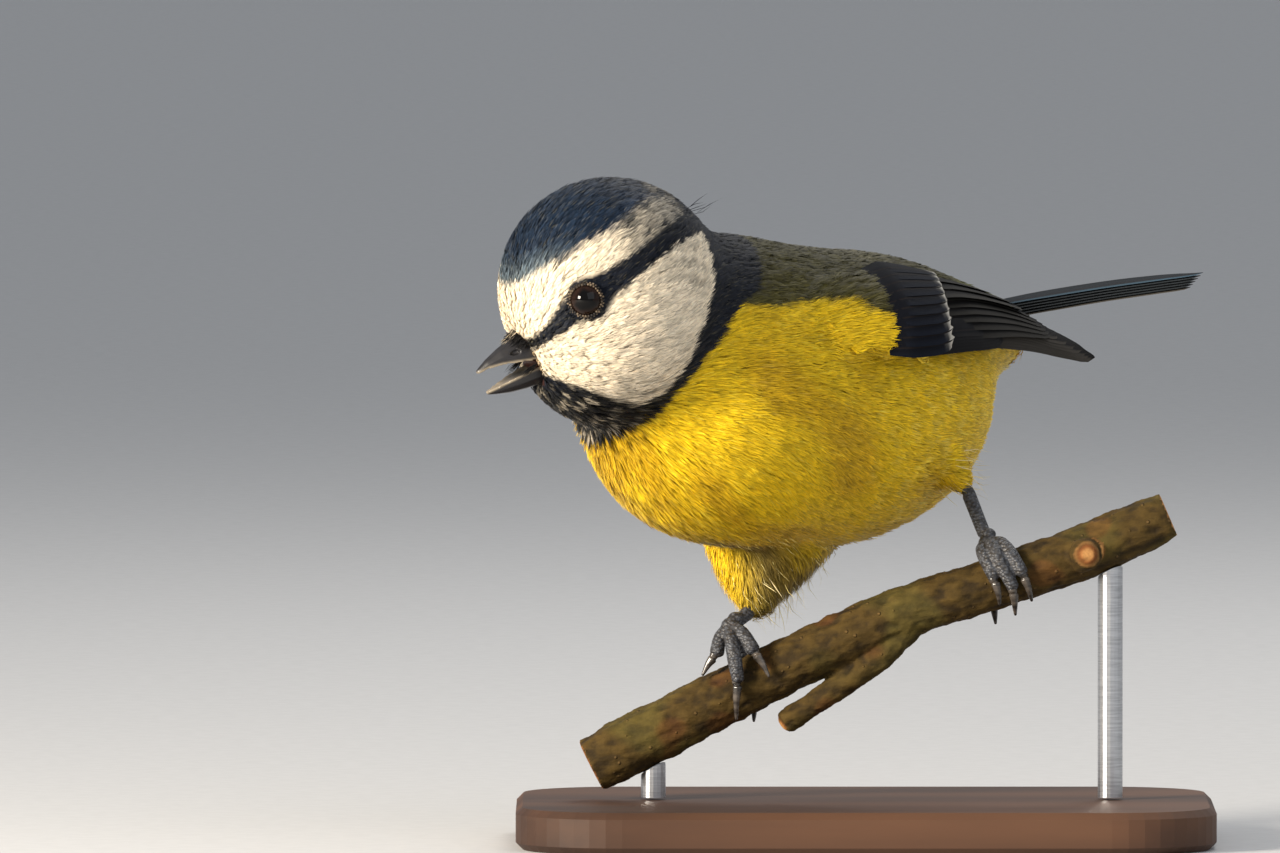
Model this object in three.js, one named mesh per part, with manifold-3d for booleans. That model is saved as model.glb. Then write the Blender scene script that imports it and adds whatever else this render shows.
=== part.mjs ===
// A blue tit, life size, on a cut length of branch that a plain display stand holds.
// Millimetres, +Z up. The origin is the middle of the base's underside. +X runs along the
// branch to its higher end and +Y away from the side that the bird turns its left flank to.
import * as THREE from "three";
import { LoftGeometry } from "three/addons/geometries/LoftGeometry.js";
import { mergeVertices } from "three/addons/utils/BufferGeometryUtils.js";
import Module from "manifold-3d";

const wasm = await Module();
wasm.setup();

const vec = (x, y, z) => new THREE.Vector3(x, y, z);
const rad = THREE.MathUtils.degToRad;
const mix = THREE.MathUtils.lerp;

// Driving dimensions. The bird's own frames have x forward, y to its left and z up.
const GAP = 0.3;
const BIRD_AT = vec(-9, 4, 53); // middle of the trunk, above the base's underside
const TRUNK_YAW = 48;
const HEAD_AT = vec(-21.4, -23.8, 13.1); // middle of the head, from the middle of the trunk
const HEAD_YAW = 18;
const HEAD_PITCH = 20;
const HEAD_ROLL = -4;
const HEAD_RADIUS = 13.8;
const EYE_RADIUS = 2.15;
const LID_RADIUS = 0.35;
const LID_RING = 2.12;
const TAIL_LENGTH = 43;
const TAIL_ROOT_X = -37.5;
const TOE_RADIUS = 0.74;
const CLAW_RADIUS = 0.54;
const TARSUS_RADIUS = 0.78;
const BASE = { length: 84, width: 56, thickness: 5, corner: 12, bevel: 0.8 };
const ROD_RADIUS = 1.5;

const COLOURS = {
  cap: 0x2f4f73,
  yellow: 0xd9b81c,
  collar: 0x1b2433,
  wing: 0x3b4a5e,
  tail: 0x35506b,
  bill: 0x2b2a2c,
  eye: 0x120c09,
  leg: 0x3a4149,
  claw: 0x4a4643,
  bark: 0x5b5233,
  steel: 0x8d9196,
  wood: 0x3a2a1e,
};

// Turns x forward to the heading: 0 faces -X, and more turns towards -Y.
function birdFrame(at, yaw, pitch = 0, roll = 0) {
  const turn = new THREE.Euler(rad(roll), rad(pitch), rad(180 + yaw), "ZYX");
  const quaternion = new THREE.Quaternion().setFromEuler(turn);
  return new THREE.Matrix4().compose(at, quaternion, vec(1, 1, 1));
}

const TRUNK = birdFrame(vec(0, 0, 0), TRUNK_YAW);
const HEAD = birdFrame(HEAD_AT, HEAD_YAW, HEAD_PITCH, HEAD_ROLL);
const inTrunk = (x, y, z) => vec(x, y, z).applyMatrix4(TRUNK);
const inHead = (x, y, z) => vec(x, y, z).applyMatrix4(HEAD);

// Solids

function solidOf(geometry, matrix = new THREE.Matrix4()) {
  const bare = new THREE.BufferGeometry();
  bare.setAttribute("position", geometry.getAttribute("position"));
  bare.setIndex(geometry.index);
  const merged = mergeVertices(bare.clone().applyMatrix4(matrix), 1e-4);
  return new wasm.Manifold(
    new wasm.Mesh({
      numProp: 3,
      vertProperties: merged.attributes.position.array,
      triVerts: new Uint32Array(merged.index.array),
    }),
  );
}

const joined = (solids) => solids.reduce((all, one) => all.add(one));

function largest(solid) {
  const pieces = solid.decompose().sort((a, b) => b.volume() - a.volume());
  return pieces[0];
}

function meshOf(name, solid, color, roughness = 0.8, metalness = 0) {
  const mesh = largest(solid).getMesh();
  const points = new Float32Array(mesh.numVert * 3);
  for (let i = 0; i < mesh.numVert; i++) {
    const first = i * mesh.numProp;
    points.set(mesh.vertProperties.subarray(first, first + 3), i * 3);
  }
  const geometry = new THREE.BufferGeometry();
  geometry.setAttribute("position", new THREE.BufferAttribute(points, 3));
  geometry.setIndex(new THREE.BufferAttribute(mesh.triVerts, 1));
  geometry.computeVertexNormals();
  const material = new THREE.MeshStandardMaterial({ color, roughness, metalness });
  const made = new THREE.Mesh(geometry, material);
  made.name = name;
  return made;
}

// Whether a ring runs counterclockwise when seen from the next ring.
function facesNext([ring, next]) {
  const centre = (points) => points.reduce((sum, p) => sum.add(p), vec(0, 0, 0));
  const way = centre(next).sub(centre(ring));
  const area = vec(0, 0, 0);
  ring.forEach((p, i) => area.add(vec().crossVectors(p, ring[(i + 1) % ring.length])));
  return area.dot(way) > 0;
}

// A loft through rings, closed at both ends. With thin, its two broad faces split alike.
function loft(rings, thin = false) {
  const ordered = facesNext(rings) ? rings : rings.map((ring) => [...ring].reverse());
  const geometry = new LoftGeometry(ordered, { capStart: true, capEnd: true });
  const sides = rings[0].length;
  const index = geometry.index;
  for (let i = 0; thin && i < rings.length - 1; i++) {
    for (let j = sides / 2; j < sides; j++) {
      const first = (i * sides + j) * 6;
      const a = index.getX(first);
      const b = index.getX(first + 1);
      const d = index.getX(first + 2);
      const c = index.getX(first + 4);
      [a, b, c, a, c, d].forEach((corner, k) => index.setX(first + k, corner));
    }
  }
  return solidOf(geometry);
}

function ovalRing(centre, across, up, width, height, sides) {
  return Array.from({ length: sides }, (_, i) => {
    const angle = (i / sides) * 2 * Math.PI;
    return centre
      .clone()
      .addScaledVector(across, width * Math.cos(angle))
      .addScaledVector(up, height * Math.sin(angle));
  });
}

const TUBE_END = 0.45; // how far a tube's rounded end stands out, as a share of its radius

// A round tube along points, with a radius at each of them and rounded ends.
function tube(points, radii, sides = 8, steps = 10) {
  const curve = new THREE.CatmullRomCurve3(points);
  const frames = curve.computeFrenetFrames(steps);
  const rings = [];
  const ring = (u, i, scale, shift) => {
    const place = u * (radii.length - 1);
    const low = Math.min(Math.floor(place), radii.length - 2);
    const radius = mix(radii[low], radii[low + 1], place - low);
    const centre = curve.getPoint(u).addScaledVector(frames.tangents[i], shift * radius);
    const size = radius * scale;
    rings.push(ovalRing(centre, frames.normals[i], frames.binormals[i], size, size, sides));
  };
  ring(0, 0, TUBE_END, -TUBE_END);
  for (let i = 0; i <= steps; i++) ring(i / steps, i, 1, 0);
  ring(1, steps, TUBE_END, TUBE_END);
  return loft(rings);
}

function ball(centre, semi, frame = new THREE.Matrix4(), segments = 24, rings = 16) {
  const place = new THREE.Matrix4().makeTranslation(centre.x, centre.y, centre.z);
  const size = new THREE.Matrix4().makeScale(semi.x, semi.y, semi.z);
  const matrix = frame.clone().multiply(place).multiply(size);
  return solidOf(new THREE.SphereGeometry(1, segments, rings), matrix);
}

// The half of space behind a plane, as a large block.
function halfSpace(point, normal) {
  const REACH = 160;
  const quaternion = new THREE.Quaternion().setFromUnitVectors(vec(0, 0, 1), normal);
  const centre = point.clone().addScaledVector(normal, -REACH / 2);
  const matrix = new THREE.Matrix4().compose(centre, quaternion, vec(1, 1, 1));
  return solidOf(new THREE.BoxGeometry(REACH, REACH, REACH), matrix);
}

// The body as one smooth shape: egg-shaped masses that melt into each other

const HEAD_MASSES = [
  { at: vec(0, 0, 1), semi: vec(HEAD_RADIUS, 12.4, HEAD_RADIUS), frame: HEAD },
  { at: vec(1.5, 0, -4), semi: vec(9, 11.8, 8), frame: HEAD },
  { at: vec(5.6, 0, -6.2), semi: vec(6.2, 6.8, 5.2), frame: HEAD }, // beard
];
const TRUNK_MASSES = [
  { at: vec(-3, 0, -0.5), semi: vec(28, 17.6, 17.6), frame: TRUNK }, // belly
  { at: vec(13.4, 0, -1), semi: vec(16.6, 17, 15.8), frame: TRUNK }, // breast
  { at: vec(-10, 0, 7), semi: vec(24, 12, 10.6), frame: TRUNK }, // back
  { at: vec(5, 0, 11), semi: vec(11, 10, 7.6), frame: TRUNK }, // mantle
  { at: vec(-30, 0, 7), semi: vec(13, 6.4, 5.4), frame: TRUNK }, // tail coverts
  { at: vec(16, 0, 10), semi: vec(15, 12.5, 11), frame: TRUNK }, // neck
];
const FACE_HOLLOW = { at: vec(16.6, 0, -3.2), semi: vec(5, 4.4, 3.1), frame: HEAD };
const MELT = 5;
const HOLLOW_MELT = 2;

for (const mass of [...HEAD_MASSES, ...TRUNK_MASSES, FACE_HOLLOW]) {
  mass.inverse = mass.frame.clone().invert();
}

function massDistance(mass, point) {
  const p = point.clone().applyMatrix4(mass.inverse).sub(mass.at).divide(mass.semi);
  const near = p.length();
  const steep = p.divide(mass.semi).length();
  return steep > 1e-9 ? (near * (near - 1)) / steep : -Math.min(...mass.semi.toArray());
}

function melted(a, b, reach) {
  const share = Math.max(reach - Math.abs(a - b), 0) / reach;
  return Math.min(a, b) - (share * share * reach) / 4;
}

function bodyDistance(point) {
  const solid = [...HEAD_MASSES, ...TRUNK_MASSES]
    .map((mass) => massDistance(mass, point))
    .reduce((a, b) => melted(a, b, MELT));
  return -melted(-solid, massDistance(FACE_HOLLOW, point), HOLLOW_MELT);
}

// The body's surface as seen from a centre, as far as reach, moved out by grow.
function bodyFrom(centre, pole, reach, segments, rings, grow = 0) {
  const STRIDE = 0.8;
  const HALVINGS = 12;
  const geometry = new THREE.SphereGeometry(1, segments, rings);
  const turn = new THREE.Quaternion().setFromUnitVectors(vec(0, 1, 0), pole);
  const places = geometry.attributes.position;
  for (let i = 0; i < places.count; i++) {
    const way = vec().fromBufferAttribute(places, i).normalize().applyQuaternion(turn);
    const outside = (t) => bodyDistance(centre.clone().addScaledVector(way, t)) > grow;
    let far = STRIDE;
    while (far < reach && !outside(far)) far += STRIDE;
    let near = far - STRIDE;
    for (let k = 0; far < reach && k < HALVINGS; k++) {
      const middle = (near + far) / 2;
      if (outside(middle)) far = middle;
      else near = middle;
    }
    const found = centre.clone().addScaledVector(way, (near + far) / 2);
    places.setXYZ(i, found.x, found.y, found.z);
  }
  return solidOf(geometry);
}

// Head

const EYE = { x: 6.1, y: 10.2, z: 3.4 };
const eyeAxis = (side) => vec(0.36, side * 0.92, 0.12).normalize();
const FACE_AT = 11.2; // how far forward the mandibles' roots lie

// One mandible's outline: half width, the cutting edge's height and the ridge's height.
const UPPER_BILL = [
  { x: FACE_AT, width: 2.7, edge: -3.2, ridge: 0.5 },
  { x: 13.6, width: 2.2, edge: -2.75, ridge: 0.2 },
  { x: 15.6, width: 1.6, edge: -2.4, ridge: -0.45 },
  { x: 17.4, width: 0.95, edge: -2.3, ridge: -1.2 },
  { x: 18.9, width: 0.35, edge: -2.55, ridge: -2.05 },
];
const LOWER_BILL = [
  { x: FACE_AT, width: 2.5, edge: -3.75, ridge: -6.5 },
  { x: 13.6, width: 2.05, edge: -4.05, ridge: -6.35 },
  { x: 15.6, width: 1.45, edge: -4.3, ridge: -6.1 },
  { x: 17.2, width: 0.85, edge: -4.6, ridge: -5.7 },
  { x: 18.5, width: 0.35, edge: -4.85, ridge: -5.3 },
];

// With grow, the room for that mandible: larger all round, and not hollow underneath.
function mandible(stations, grow = 0) {
  const SIDES = 12;
  const hollow = grow > 0 ? -0.05 : 0.18; // the roof's share of the ridge's height
  const rings = stations.map((station, k) => {
    const outward = Math.sign(station.ridge - station.edge);
    const edge = station.edge - grow * outward;
    const height = station.ridge + grow * outward - edge;
    const x = station.x - (k === 0 ? grow : 0);
    return Array.from({ length: SIDES }, (_, i) => {
      const angle = (i / SIDES) * 2 * Math.PI;
      const rise = Math.sin(angle);
      const y = (station.width + grow) * Math.cos(angle);
      return inHead(x, y, edge + height * (rise > 0 ? rise : -rise * hollow));
    });
  });
  return loft(rings);
}

function nostril(side) {
  return ball(vec(14.1, side * 1.75, -1.35), vec(0.75, 0.5, 0.34), HEAD, 10, 6);
}

function lidRing(side) {
  const SEGMENTS = 22;
  const axis = eyeAxis(side);
  const rise = Math.sqrt((EYE_RADIUS + GAP + LID_RADIUS) ** 2 - LID_RING ** 2);
  const at = vec(EYE.x, side * EYE.y, EYE.z).addScaledVector(axis, rise);
  const turn = new THREE.Quaternion().setFromUnitVectors(vec(0, 0, 1), axis);
  const local = new THREE.Matrix4().compose(at, turn, vec(1, 1, 1));
  const ring = new THREE.TorusGeometry(LID_RING, LID_RADIUS, 6, SEGMENTS);
  return solidOf(ring, HEAD.clone().multiply(local));
}

const eyeball = (side, grow = 0) => {
  const size = EYE_RADIUS + grow;
  return ball(vec(EYE.x, side * EYE.y, EYE.z), vec(size, size, size), HEAD, 14, 10);
};

// The neck lies between two planes that are square to the line from the head to the shoulders.
const NECK_END = inTrunk(12, 0, 8);
const NECK_WAY = NECK_END.clone().sub(HEAD_AT).normalize();
const HEAD_CUT = 9.5;
const NECK_LENGTH = 5.5;
const onNeck = (distance) => HEAD_AT.clone().addScaledVector(NECK_WAY, distance);
const before = (distance) => halfSpace(onNeck(distance), NECK_WAY);
const after = (distance) => halfSpace(onNeck(distance), NECK_WAY.clone().negate());

const HEAD_REACH = 29;
const NECK_REACH = 27;
const TRUNK_REACH = 42;

function head() {
  let made = bodyFrom(onNeck(0), NECK_WAY, HEAD_REACH, 28, 20).intersect(before(HEAD_CUT));
  for (const side of [1, -1]) made = made.subtract(eyeball(side, GAP)).add(lidRing(side));
  for (const side of [1, -1]) made = made.subtract(eyeball(side, GAP));
  return made.subtract(mandible(UPPER_BILL, GAP)).subtract(mandible(LOWER_BILL, GAP));
}

const neck = () =>
  bodyFrom(onNeck(HEAD_CUT + NECK_LENGTH / 2), NECK_WAY, NECK_REACH, 28, 18)
    .intersect(after(HEAD_CUT + GAP))
    .intersect(before(HEAD_CUT + NECK_LENGTH));

const behindTailRoot = halfSpace(inTrunk(TAIL_ROOT_X, 0, 0), inTrunk(1, 0, 0));
const trunkPole = inTrunk(1, 0, 0);
const trunk = (grow) =>
  bodyFrom(inTrunk(-2, 0, 1), trunkPole, TRUNK_REACH, 32, 24, grow).subtract(behindTailRoot);
const torso = () => trunk(0).intersect(after(HEAD_CUT + NECK_LENGTH + GAP));
const roomForTrunk = trunk(GAP + 0.05);

// Vanes

// A flat vane along points, with the outward direction at each and its broadest half width.
function vane(points, outward, halfWidth, thickness, tilt, tip = 0.25) {
  const SHAPE = [
    [0, 0.66],
    [0.4, 1],
    [0.78, 0.9],
    [0.94, 0.6],
    [1, tip],
  ];
  const curve = new THREE.CatmullRomCurve3(points);
  const rings = SHAPE.map(([u, share]) => {
    const centre = curve.getPoint(u);
    const along = curve.getTangent(u);
    const out = outward(u);
    const across = vec().crossVectors(out, along).normalize();
    const up = vec().crossVectors(along, across).normalize();
    const right = across.clone().multiplyScalar(Math.cos(tilt));
    right.addScaledVector(up, Math.sin(tilt));
    const rise = vec().crossVectors(along, right).normalize();
    const half = halfWidth * share;
    const corner = (w, h) =>
      centre.clone().addScaledVector(right, w).addScaledVector(rise, h);
    const h = thickness / 2;
    return [corner(-half, h), corner(half, h), corner(half, -h), corner(-half, -h)];
  });
  return loft(rings, true);
}

// The folded wing lies on a curved sheet between three lines, in the trunk's frame.
const WING_UPPER = [
  vec(9, 9.6, 14.2),
  vec(0, 11.4, 15.6),
  vec(-12, 10.6, 14.4),
  vec(-24, 9.2, 11.8),
  vec(-36, 7.6, 8.6),
  vec(-48, 6.2, 5.2),
];
const WING_MIDDLE = [
  vec(9, 13.4, 10.6),
  vec(0, 16.8, 11.6),
  vec(-12, 16.0, 11.6),
  vec(-24, 12.8, 10.2),
  vec(-36, 9.4, 7.4),
  vec(-48, 6.6, 4.4),
];
const WING_LOWER = [
  vec(9, 15.8, 5.8),
  vec(0, 18.8, 6.6),
  vec(-12, 18.4, 7.2),
  vec(-24, 15.0, 6.6),
  vec(-36, 10.6, 5.4),
  vec(-48, 6.9, 3.6),
];
const RIGHT_WING_LIFT = 4.5; // how much higher the right wing's tip is carried
const wingLines = [WING_UPPER, WING_MIDDLE, WING_LOWER].map(
  (points) => new THREE.CatmullRomCurve3(points),
);

// A point of the sheet: s runs from the bend to the tip and t from the back down.
function wingPoint(side, s, t, lift = 0) {
  const [upper, middle, lower] = wingLines.map((line) => line.getPoint(Math.min(s, 1)));
  const p = upper
    .multiplyScalar((1 - t) * (1 - 2 * t))
    .addScaledVector(middle, 4 * t * (1 - t))
    .addScaledVector(lower, t * (2 * t - 1));
  const raised = side < 0 ? RIGHT_WING_LIFT * s * s : 0;
  const local = vec(p.x, side * p.y, p.z + raised);
  if (lift) local.addScaledVector(wingOut(side, s, t), lift);
  return local;
}

function wingOut(side, s, t) {
  const STEP = 0.02;
  const low = Math.min(s, 1 - STEP);
  const along = wingPoint(side, low + STEP, t).sub(wingPoint(side, low, t));
  const down = wingPoint(side, low, t + STEP).sub(wingPoint(side, low, t - STEP));
  const out = vec().crossVectors(along, down).multiplyScalar(-side);
  return out.normalize();
}

// The tiers, with each one's first and last vane: where they start and end on the sheet.
const WING_TIERS = [
  {
    name: "primaries",
    count: 7,
    root: [[0.36, 0.93], [0.44, 0.7]],
    tip: [[0.985, 0.86], [0.8, 0.42]],
    shape: { width: 2.0, lift: 0, tilt: 9 },
  },
  {
    name: "secondaries",
    count: 5,
    root: [[0.3, 0.8], [0.3, 0.36]],
    tip: [[0.8, 0.58], [0.74, 0.27]],
    shape: { width: 2.2, lift: 0.45, tilt: 11 },
  },
  {
    name: "tertials",
    count: 3,
    root: [[0.28, 0.3], [0.24, 0.06]],
    tip: [[0.7, 0.24], [0.56, 0.1]],
    shape: { width: 2.5, lift: 0.95, tilt: 10 },
  },
  {
    name: "primary coverts",
    count: 3,
    root: [[0.18, 0.96], [0.24, 0.82]],
    tip: [[0.5, 0.97], [0.47, 0.83]],
    shape: { width: 1.6, lift: 0.6, tilt: 9 },
  },
  {
    name: "greater coverts",
    count: 7,
    root: [[0.2, 0.9], [0.17, 0.06]],
    tip: [[0.36, 0.9], [0.35, 0.06]],
    shape: { width: 1.8, lift: 1.25, tilt: 12 },
  },
  {
    name: "median coverts",
    count: 5,
    root: [[0.1, 0.86], [0.08, 0.12]],
    tip: [[0.23, 0.88], [0.22, 0.1]],
    shape: { width: 2.0, lift: 1.55, tilt: 9 },
  },
];
const VANE_THICKNESS = 0.55;

function wingVane(side, tier, i) {
  const k = i / (tier.count - 1);
  const between = ([first, last]) => [mix(first[0], last[0], k), mix(first[1], last[1], k)];
  const root = between(tier.root);
  const tip = between(tier.tip);
  const { width, lift, tilt } = tier.shape;
  const ROOT_SINK = 0.9;
  const along = (u) => [mix(root[0], tip[0], u), mix(root[1], tip[1], u * u)];
  const points = [0, 0.25, 0.5, 0.75, 1].map((u) => {
    const height = u === 0 ? lift - ROOT_SINK : lift;
    return wingPoint(side, ...along(u), height).applyMatrix4(TRUNK);
  });
  const outward = (u) => wingOut(side, ...along(u)).transformDirection(TRUNK);
  return vane(points, outward, width, VANE_THICKNESS, -side * rad(tilt));
}

// The arm under the coverts, from just inside the trunk out to the sheet.
function wingArm(side) {
  const STEPS = 8;
  const ACROSS = 5;
  const LAST = 0.6;
  const DEPTH = 2.6;
  const rings = [];
  for (let i = 0; i <= STEPS; i++) {
    const s = (i / STEPS) * LAST;
    const thin = 1 - 0.6 * (i / STEPS);
    const outer = [];
    const inner = [];
    for (let j = 0; j < ACROSS; j++) {
      const t = 0.04 + (j / (ACROSS - 1)) * 0.9;
      outer.push(wingPoint(side, s, t, 0.35 * thin));
      inner.unshift(wingPoint(side, s, t, -DEPTH * thin));
    }
    rings.push([...outer, ...inner].map((p) => p.applyMatrix4(TRUNK)));
  }
  return loft(rings, true);
}

function wing(side) {
  const vanes = WING_TIERS.flatMap((tier) =>
    Array.from({ length: tier.count }, (_, i) => wingVane(side, tier, i)),
  );
  return joined([wingArm(side), ...vanes]).subtract(roomForTrunk);
}

// Tail: a short fleshy root and twelve vanes, six to a side, the middle pair on top

const TAIL_RISE = 2.5;
const TAIL_ROOT_Z = 8.9;

function tail() {
  const PAIRS = 6;
  const rootRings = [
    { x: TAIL_ROOT_X - GAP, width: 4.7, height: 3.6 },
    { x: TAIL_ROOT_X - 6, width: 4.2, height: 2.4 },
    { x: TAIL_ROOT_X - 12, width: 3.4, height: 1.2 },
  ].map((station) => {
    const centre = inTrunk(station.x, 0, TAIL_ROOT_Z + (TAIL_ROOT_X - station.x) * 0.05);
    const across = inTrunk(0, 1, 0);
    return ovalRing(centre, across, vec(0, 0, 1), station.width, station.height, 14);
  });
  const vanes = [];
  for (let pair = 0; pair < PAIRS; pair++) {
    for (const side of [1, -1]) {
      const length = TAIL_LENGTH - 8.5 - Math.abs(pair - 3.5) * 0.45;
      const drop = pair * 0.28 + (side > 0 ? 0 : 0.14);
      const points = [0, 0.35, 0.7, 1].map((u) => {
        const x = TAIL_ROOT_X - 1.2 - length * u;
        const y = side * mix(0.5 + pair * 0.4, 0.9 + pair * 0.72, u);
        const z = TAIL_ROOT_Z + 0.9 - drop + TAIL_RISE * u + 1.6 * u * (1 - u);
        return inTrunk(x, y, z);
      });
      const up = () => vec(0, 0, 1);
      vanes.push(vane(points, up, 2.1, VANE_THICKNESS, 0, 0.35));
    }
  }
  return joined([loft(rootRings), ...vanes]);
}

// Branch

const BRANCH_Y = -4;
const BRANCH_LINE = [
  { at: vec(-24, BRANCH_Y, -43.9), radius: 3.6 },
  { at: vec(-18.1, BRANCH_Y, -40.9), radius: 3.5 },
  { at: vec(-5.4, BRANCH_Y, -34.3), radius: 3.3 },
  { at: vec(12.5, BRANCH_Y, -25.9), radius: 3.2 },
  { at: vec(22.3, BRANCH_Y, -22.6), radius: 3.1 },
  { at: vec(35.5, BRANCH_Y, -18.0), radius: 3.3 },
  { at: vec(45.5, BRANCH_Y, -13.7), radius: 3.1 },
];
const branchCurve = new THREE.CatmullRomCurve3(BRANCH_LINE.map((station) => station.at));

// The branch's frame at a distance from its low end, as a share of its length.
function branchAt(share) {
  const at = branchCurve.getPointAt(share);
  const along = branchCurve.getTangentAt(share);
  const up = vec().crossVectors(along, vec(0, 1, 0)).normalize();
  return { at, along, up, front: vec(0, -1, 0) };
}

function branchRadius(share) {
  const stations = BRANCH_LINE.map((station) => station.radius);
  const place = share * (stations.length - 1);
  const low = Math.min(Math.floor(place), stations.length - 2);
  return mix(stations[low], stations[low + 1], place - low);
}

function branch(grow = 0) {
  const STEPS = 20;
  const SIDES = 12;
  const WOBBLE = 0.03;
  const rings = [];
  for (let i = 0; i <= STEPS; i++) {
    const share = i / STEPS;
    const { at, up, front } = branchAt(share);
    const end = i === 0 || i === STEPS ? 0.9 : 1;
    rings.push(
      Array.from({ length: SIDES }, (_, j) => {
        const angle = (j / SIDES) * 2 * Math.PI;
        const bump = 1 + WOBBLE * Math.sin(3 * angle + 17 * share) * Math.sin(29 * share);
        const size = branchRadius(share) * bump * end + grow;
        return at
          .clone()
          .addScaledVector(up, size * Math.cos(angle))
          .addScaledVector(front, size * Math.sin(angle));
      }),
    );
  }
  const knot = tube([vec(34.6, -4, -18.6), vec(35.6, -8.6, -18.2)], [2.2, 1.9], 12, 3);
  const twig = tube(
    [vec(15.5, -4.4, -26), vec(11, -5, -30.6), vec(5, -4.8, -34.9), vec(-0.6, -4.6, -38.6)],
    [1.7, 1.6, 1.5, 1.45],
    10,
    8,
  );
  return joined([loft(rings), knot, twig]);
}

// Feet. A place on the branch is (along, out from its axis, turn to the front from above).

const RIGHT_STANCE = {
  side: -1,
  share: 0.297,
  joint: [0, 7.3, 6],
  toes: [
    {
      path: [[-1.6, 6.9, 12], [-2.9, 5.6, 22]],
      claw: [[-4.4, 5.0, 27], [-5.6, 4.35, 34]],
    },
    {
      path: [[-0.6, 6.7, 26], [-1.3, 5.6, 50], [-2.0, 4.6, 74]],
      claw: [[-3.2, 4.45, 99], [-4.3, 4.9, 126]],
    },
    {
      path: [[0.9, 6.6, 22], [1.2, 5.3, 46]],
      claw: [[1.5, 4.5, 66], [1.5, 4.45, 90]],
    },
    {
      path: [[-0.2, 6.0, -24], [-0.8, 4.7, -62], [-1.4, 4.4, -104]],
      claw: [[-2.0, 4.3, -136], [-2.6, 4.4, -166]],
    },
  ],
};
const LEFT_STANCE = {
  side: 1,
  share: 0.714,
  joint: [0, 4.7, -8],
  toes: [
    {
      path: [[-0.9, 4.6, 18], [-0.8, 4.3, 48], [-0.6, 4.2, 78]],
      claw: [[-0.7, 4.25, 104], [-1.0, 4.35, 124]],
    },
    {
      path: [[0.3, 4.9, 26], [0.7, 4.5, 62], [1.2, 4.35, 104]],
      claw: [[0.8, 4.7, 126], [0.4, 5.2, 146]],
    },
    {
      path: [[1.5, 4.6, 18], [2.2, 4.3, 52], [2.8, 4.2, 86]],
      claw: [[2.9, 4.25, 114], [2.8, 4.5, 138]],
    },
    {
      path: [[-0.6, 4.4, -38], [-1.1, 4.3, -74], [-1.5, 4.3, -112]],
      claw: [[-1.9, 4.4, -142], [-2.2, 4.9, -166]],
    },
  ],
};

function onBranch(stance, [along, out, degrees]) {
  const frame = branchAt(stance.share);
  return frame.at
    .clone()
    .addScaledVector(frame.along, along)
    .addScaledVector(frame.up, out * Math.cos(rad(degrees)))
    .addScaledVector(frame.front, out * Math.sin(rad(degrees)));
}

const jointOf = (stance) => onBranch(stance, stance.joint);

const TOE_SIZES = [0.9, 1, 1.12, 0.92]; // from the ankle outwards, as shares of TOE_RADIUS
const toeSizes = (path) => TOE_SIZES.slice(1, path.length + 1);

function foot(stance) {
  const joint = jointOf(stance);
  const pieces = stance.toes.map((toe) => {
    const points = [joint, ...toe.path.map((place) => onBranch(stance, place))];
    const radii = [TOE_SIZES[0], ...toeSizes(toe.path)].map((share) => share * TOE_RADIUS);
    return tube(points, radii, 8, 6);
  });
  const ankle = ball(joint, vec(1.15, 1.15, 1.05), new THREE.Matrix4(), 12, 8);
  return joined([ankle, ...pieces]).subtract(roomForBranch);
}

function claw(stance, i) {
  const toe = stance.toes[i];
  const root = onBranch(stance, toe.path.at(-1));
  const [bend, tip] = toe.claw.map((place) => onBranch(stance, place));
  const way = bend.clone().sub(root).normalize();
  const toeEnd = TOE_RADIUS * toeSizes(toe.path).at(-1);
  const start = root.clone().addScaledVector(way, TUBE_END * (toeEnd + CLAW_RADIUS) + GAP);
  const radii = [CLAW_RADIUS, CLAW_RADIUS * 0.7, CLAW_RADIUS * 0.22];
  return tube([start, bend, tip], radii, 7, 4).subtract(roomForBranch);
}

// Legs: a feathered thigh, cut to the trunk's surface, and the bare shank below it

const THIGHS = {
  "-1": {
    path: [vec(-1, 5.6, -8), vec(-3.2, 3.2, -16.6), vec(-4, -0.4, -22.6), vec(-4.6, -2.2, -25.2)],
    radii: [12, 8.9, 4.2, 1.9],
  },
  1: {
    path: [vec(14, 1, -3), vec(18.2, 1.6, -7.2), vec(21.2, 0.4, -10.6)],
    radii: [5, 3.6, 1.7],
  },
};
const SHANK_SINK = 0.4;

function thigh(side) {
  const { path, radii } = THIGHS[side];
  return tube(path, radii, 16, 10).subtract(roomForTrunk);
}

function shank(stance) {
  const { path, radii } = THIGHS[stance.side];
  const joint = jointOf(stance);
  const end = path.at(-1);
  const way = joint.clone().sub(end).normalize();
  const start = end.clone().addScaledVector(way, radii.at(-1) * SHANK_SINK);
  const ankleGap = 1.1 + GAP;
  const stop = joint.clone().addScaledVector(way, -ankleGap);
  const made = tube([start, stop], [TARSUS_RADIUS, TARSUS_RADIUS * 0.94], 10, 4);
  const room = tube(path, radii.map((radius) => radius + GAP), 16, 10);
  return made.subtract(room).subtract(roomForFoot(stance));
}

const roomForFoot = (stance) =>
  ball(jointOf(stance), vec(1.15, 1.15, 1.05).addScalar(GAP), new THREE.Matrix4(), 12, 8);

// Stand

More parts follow.
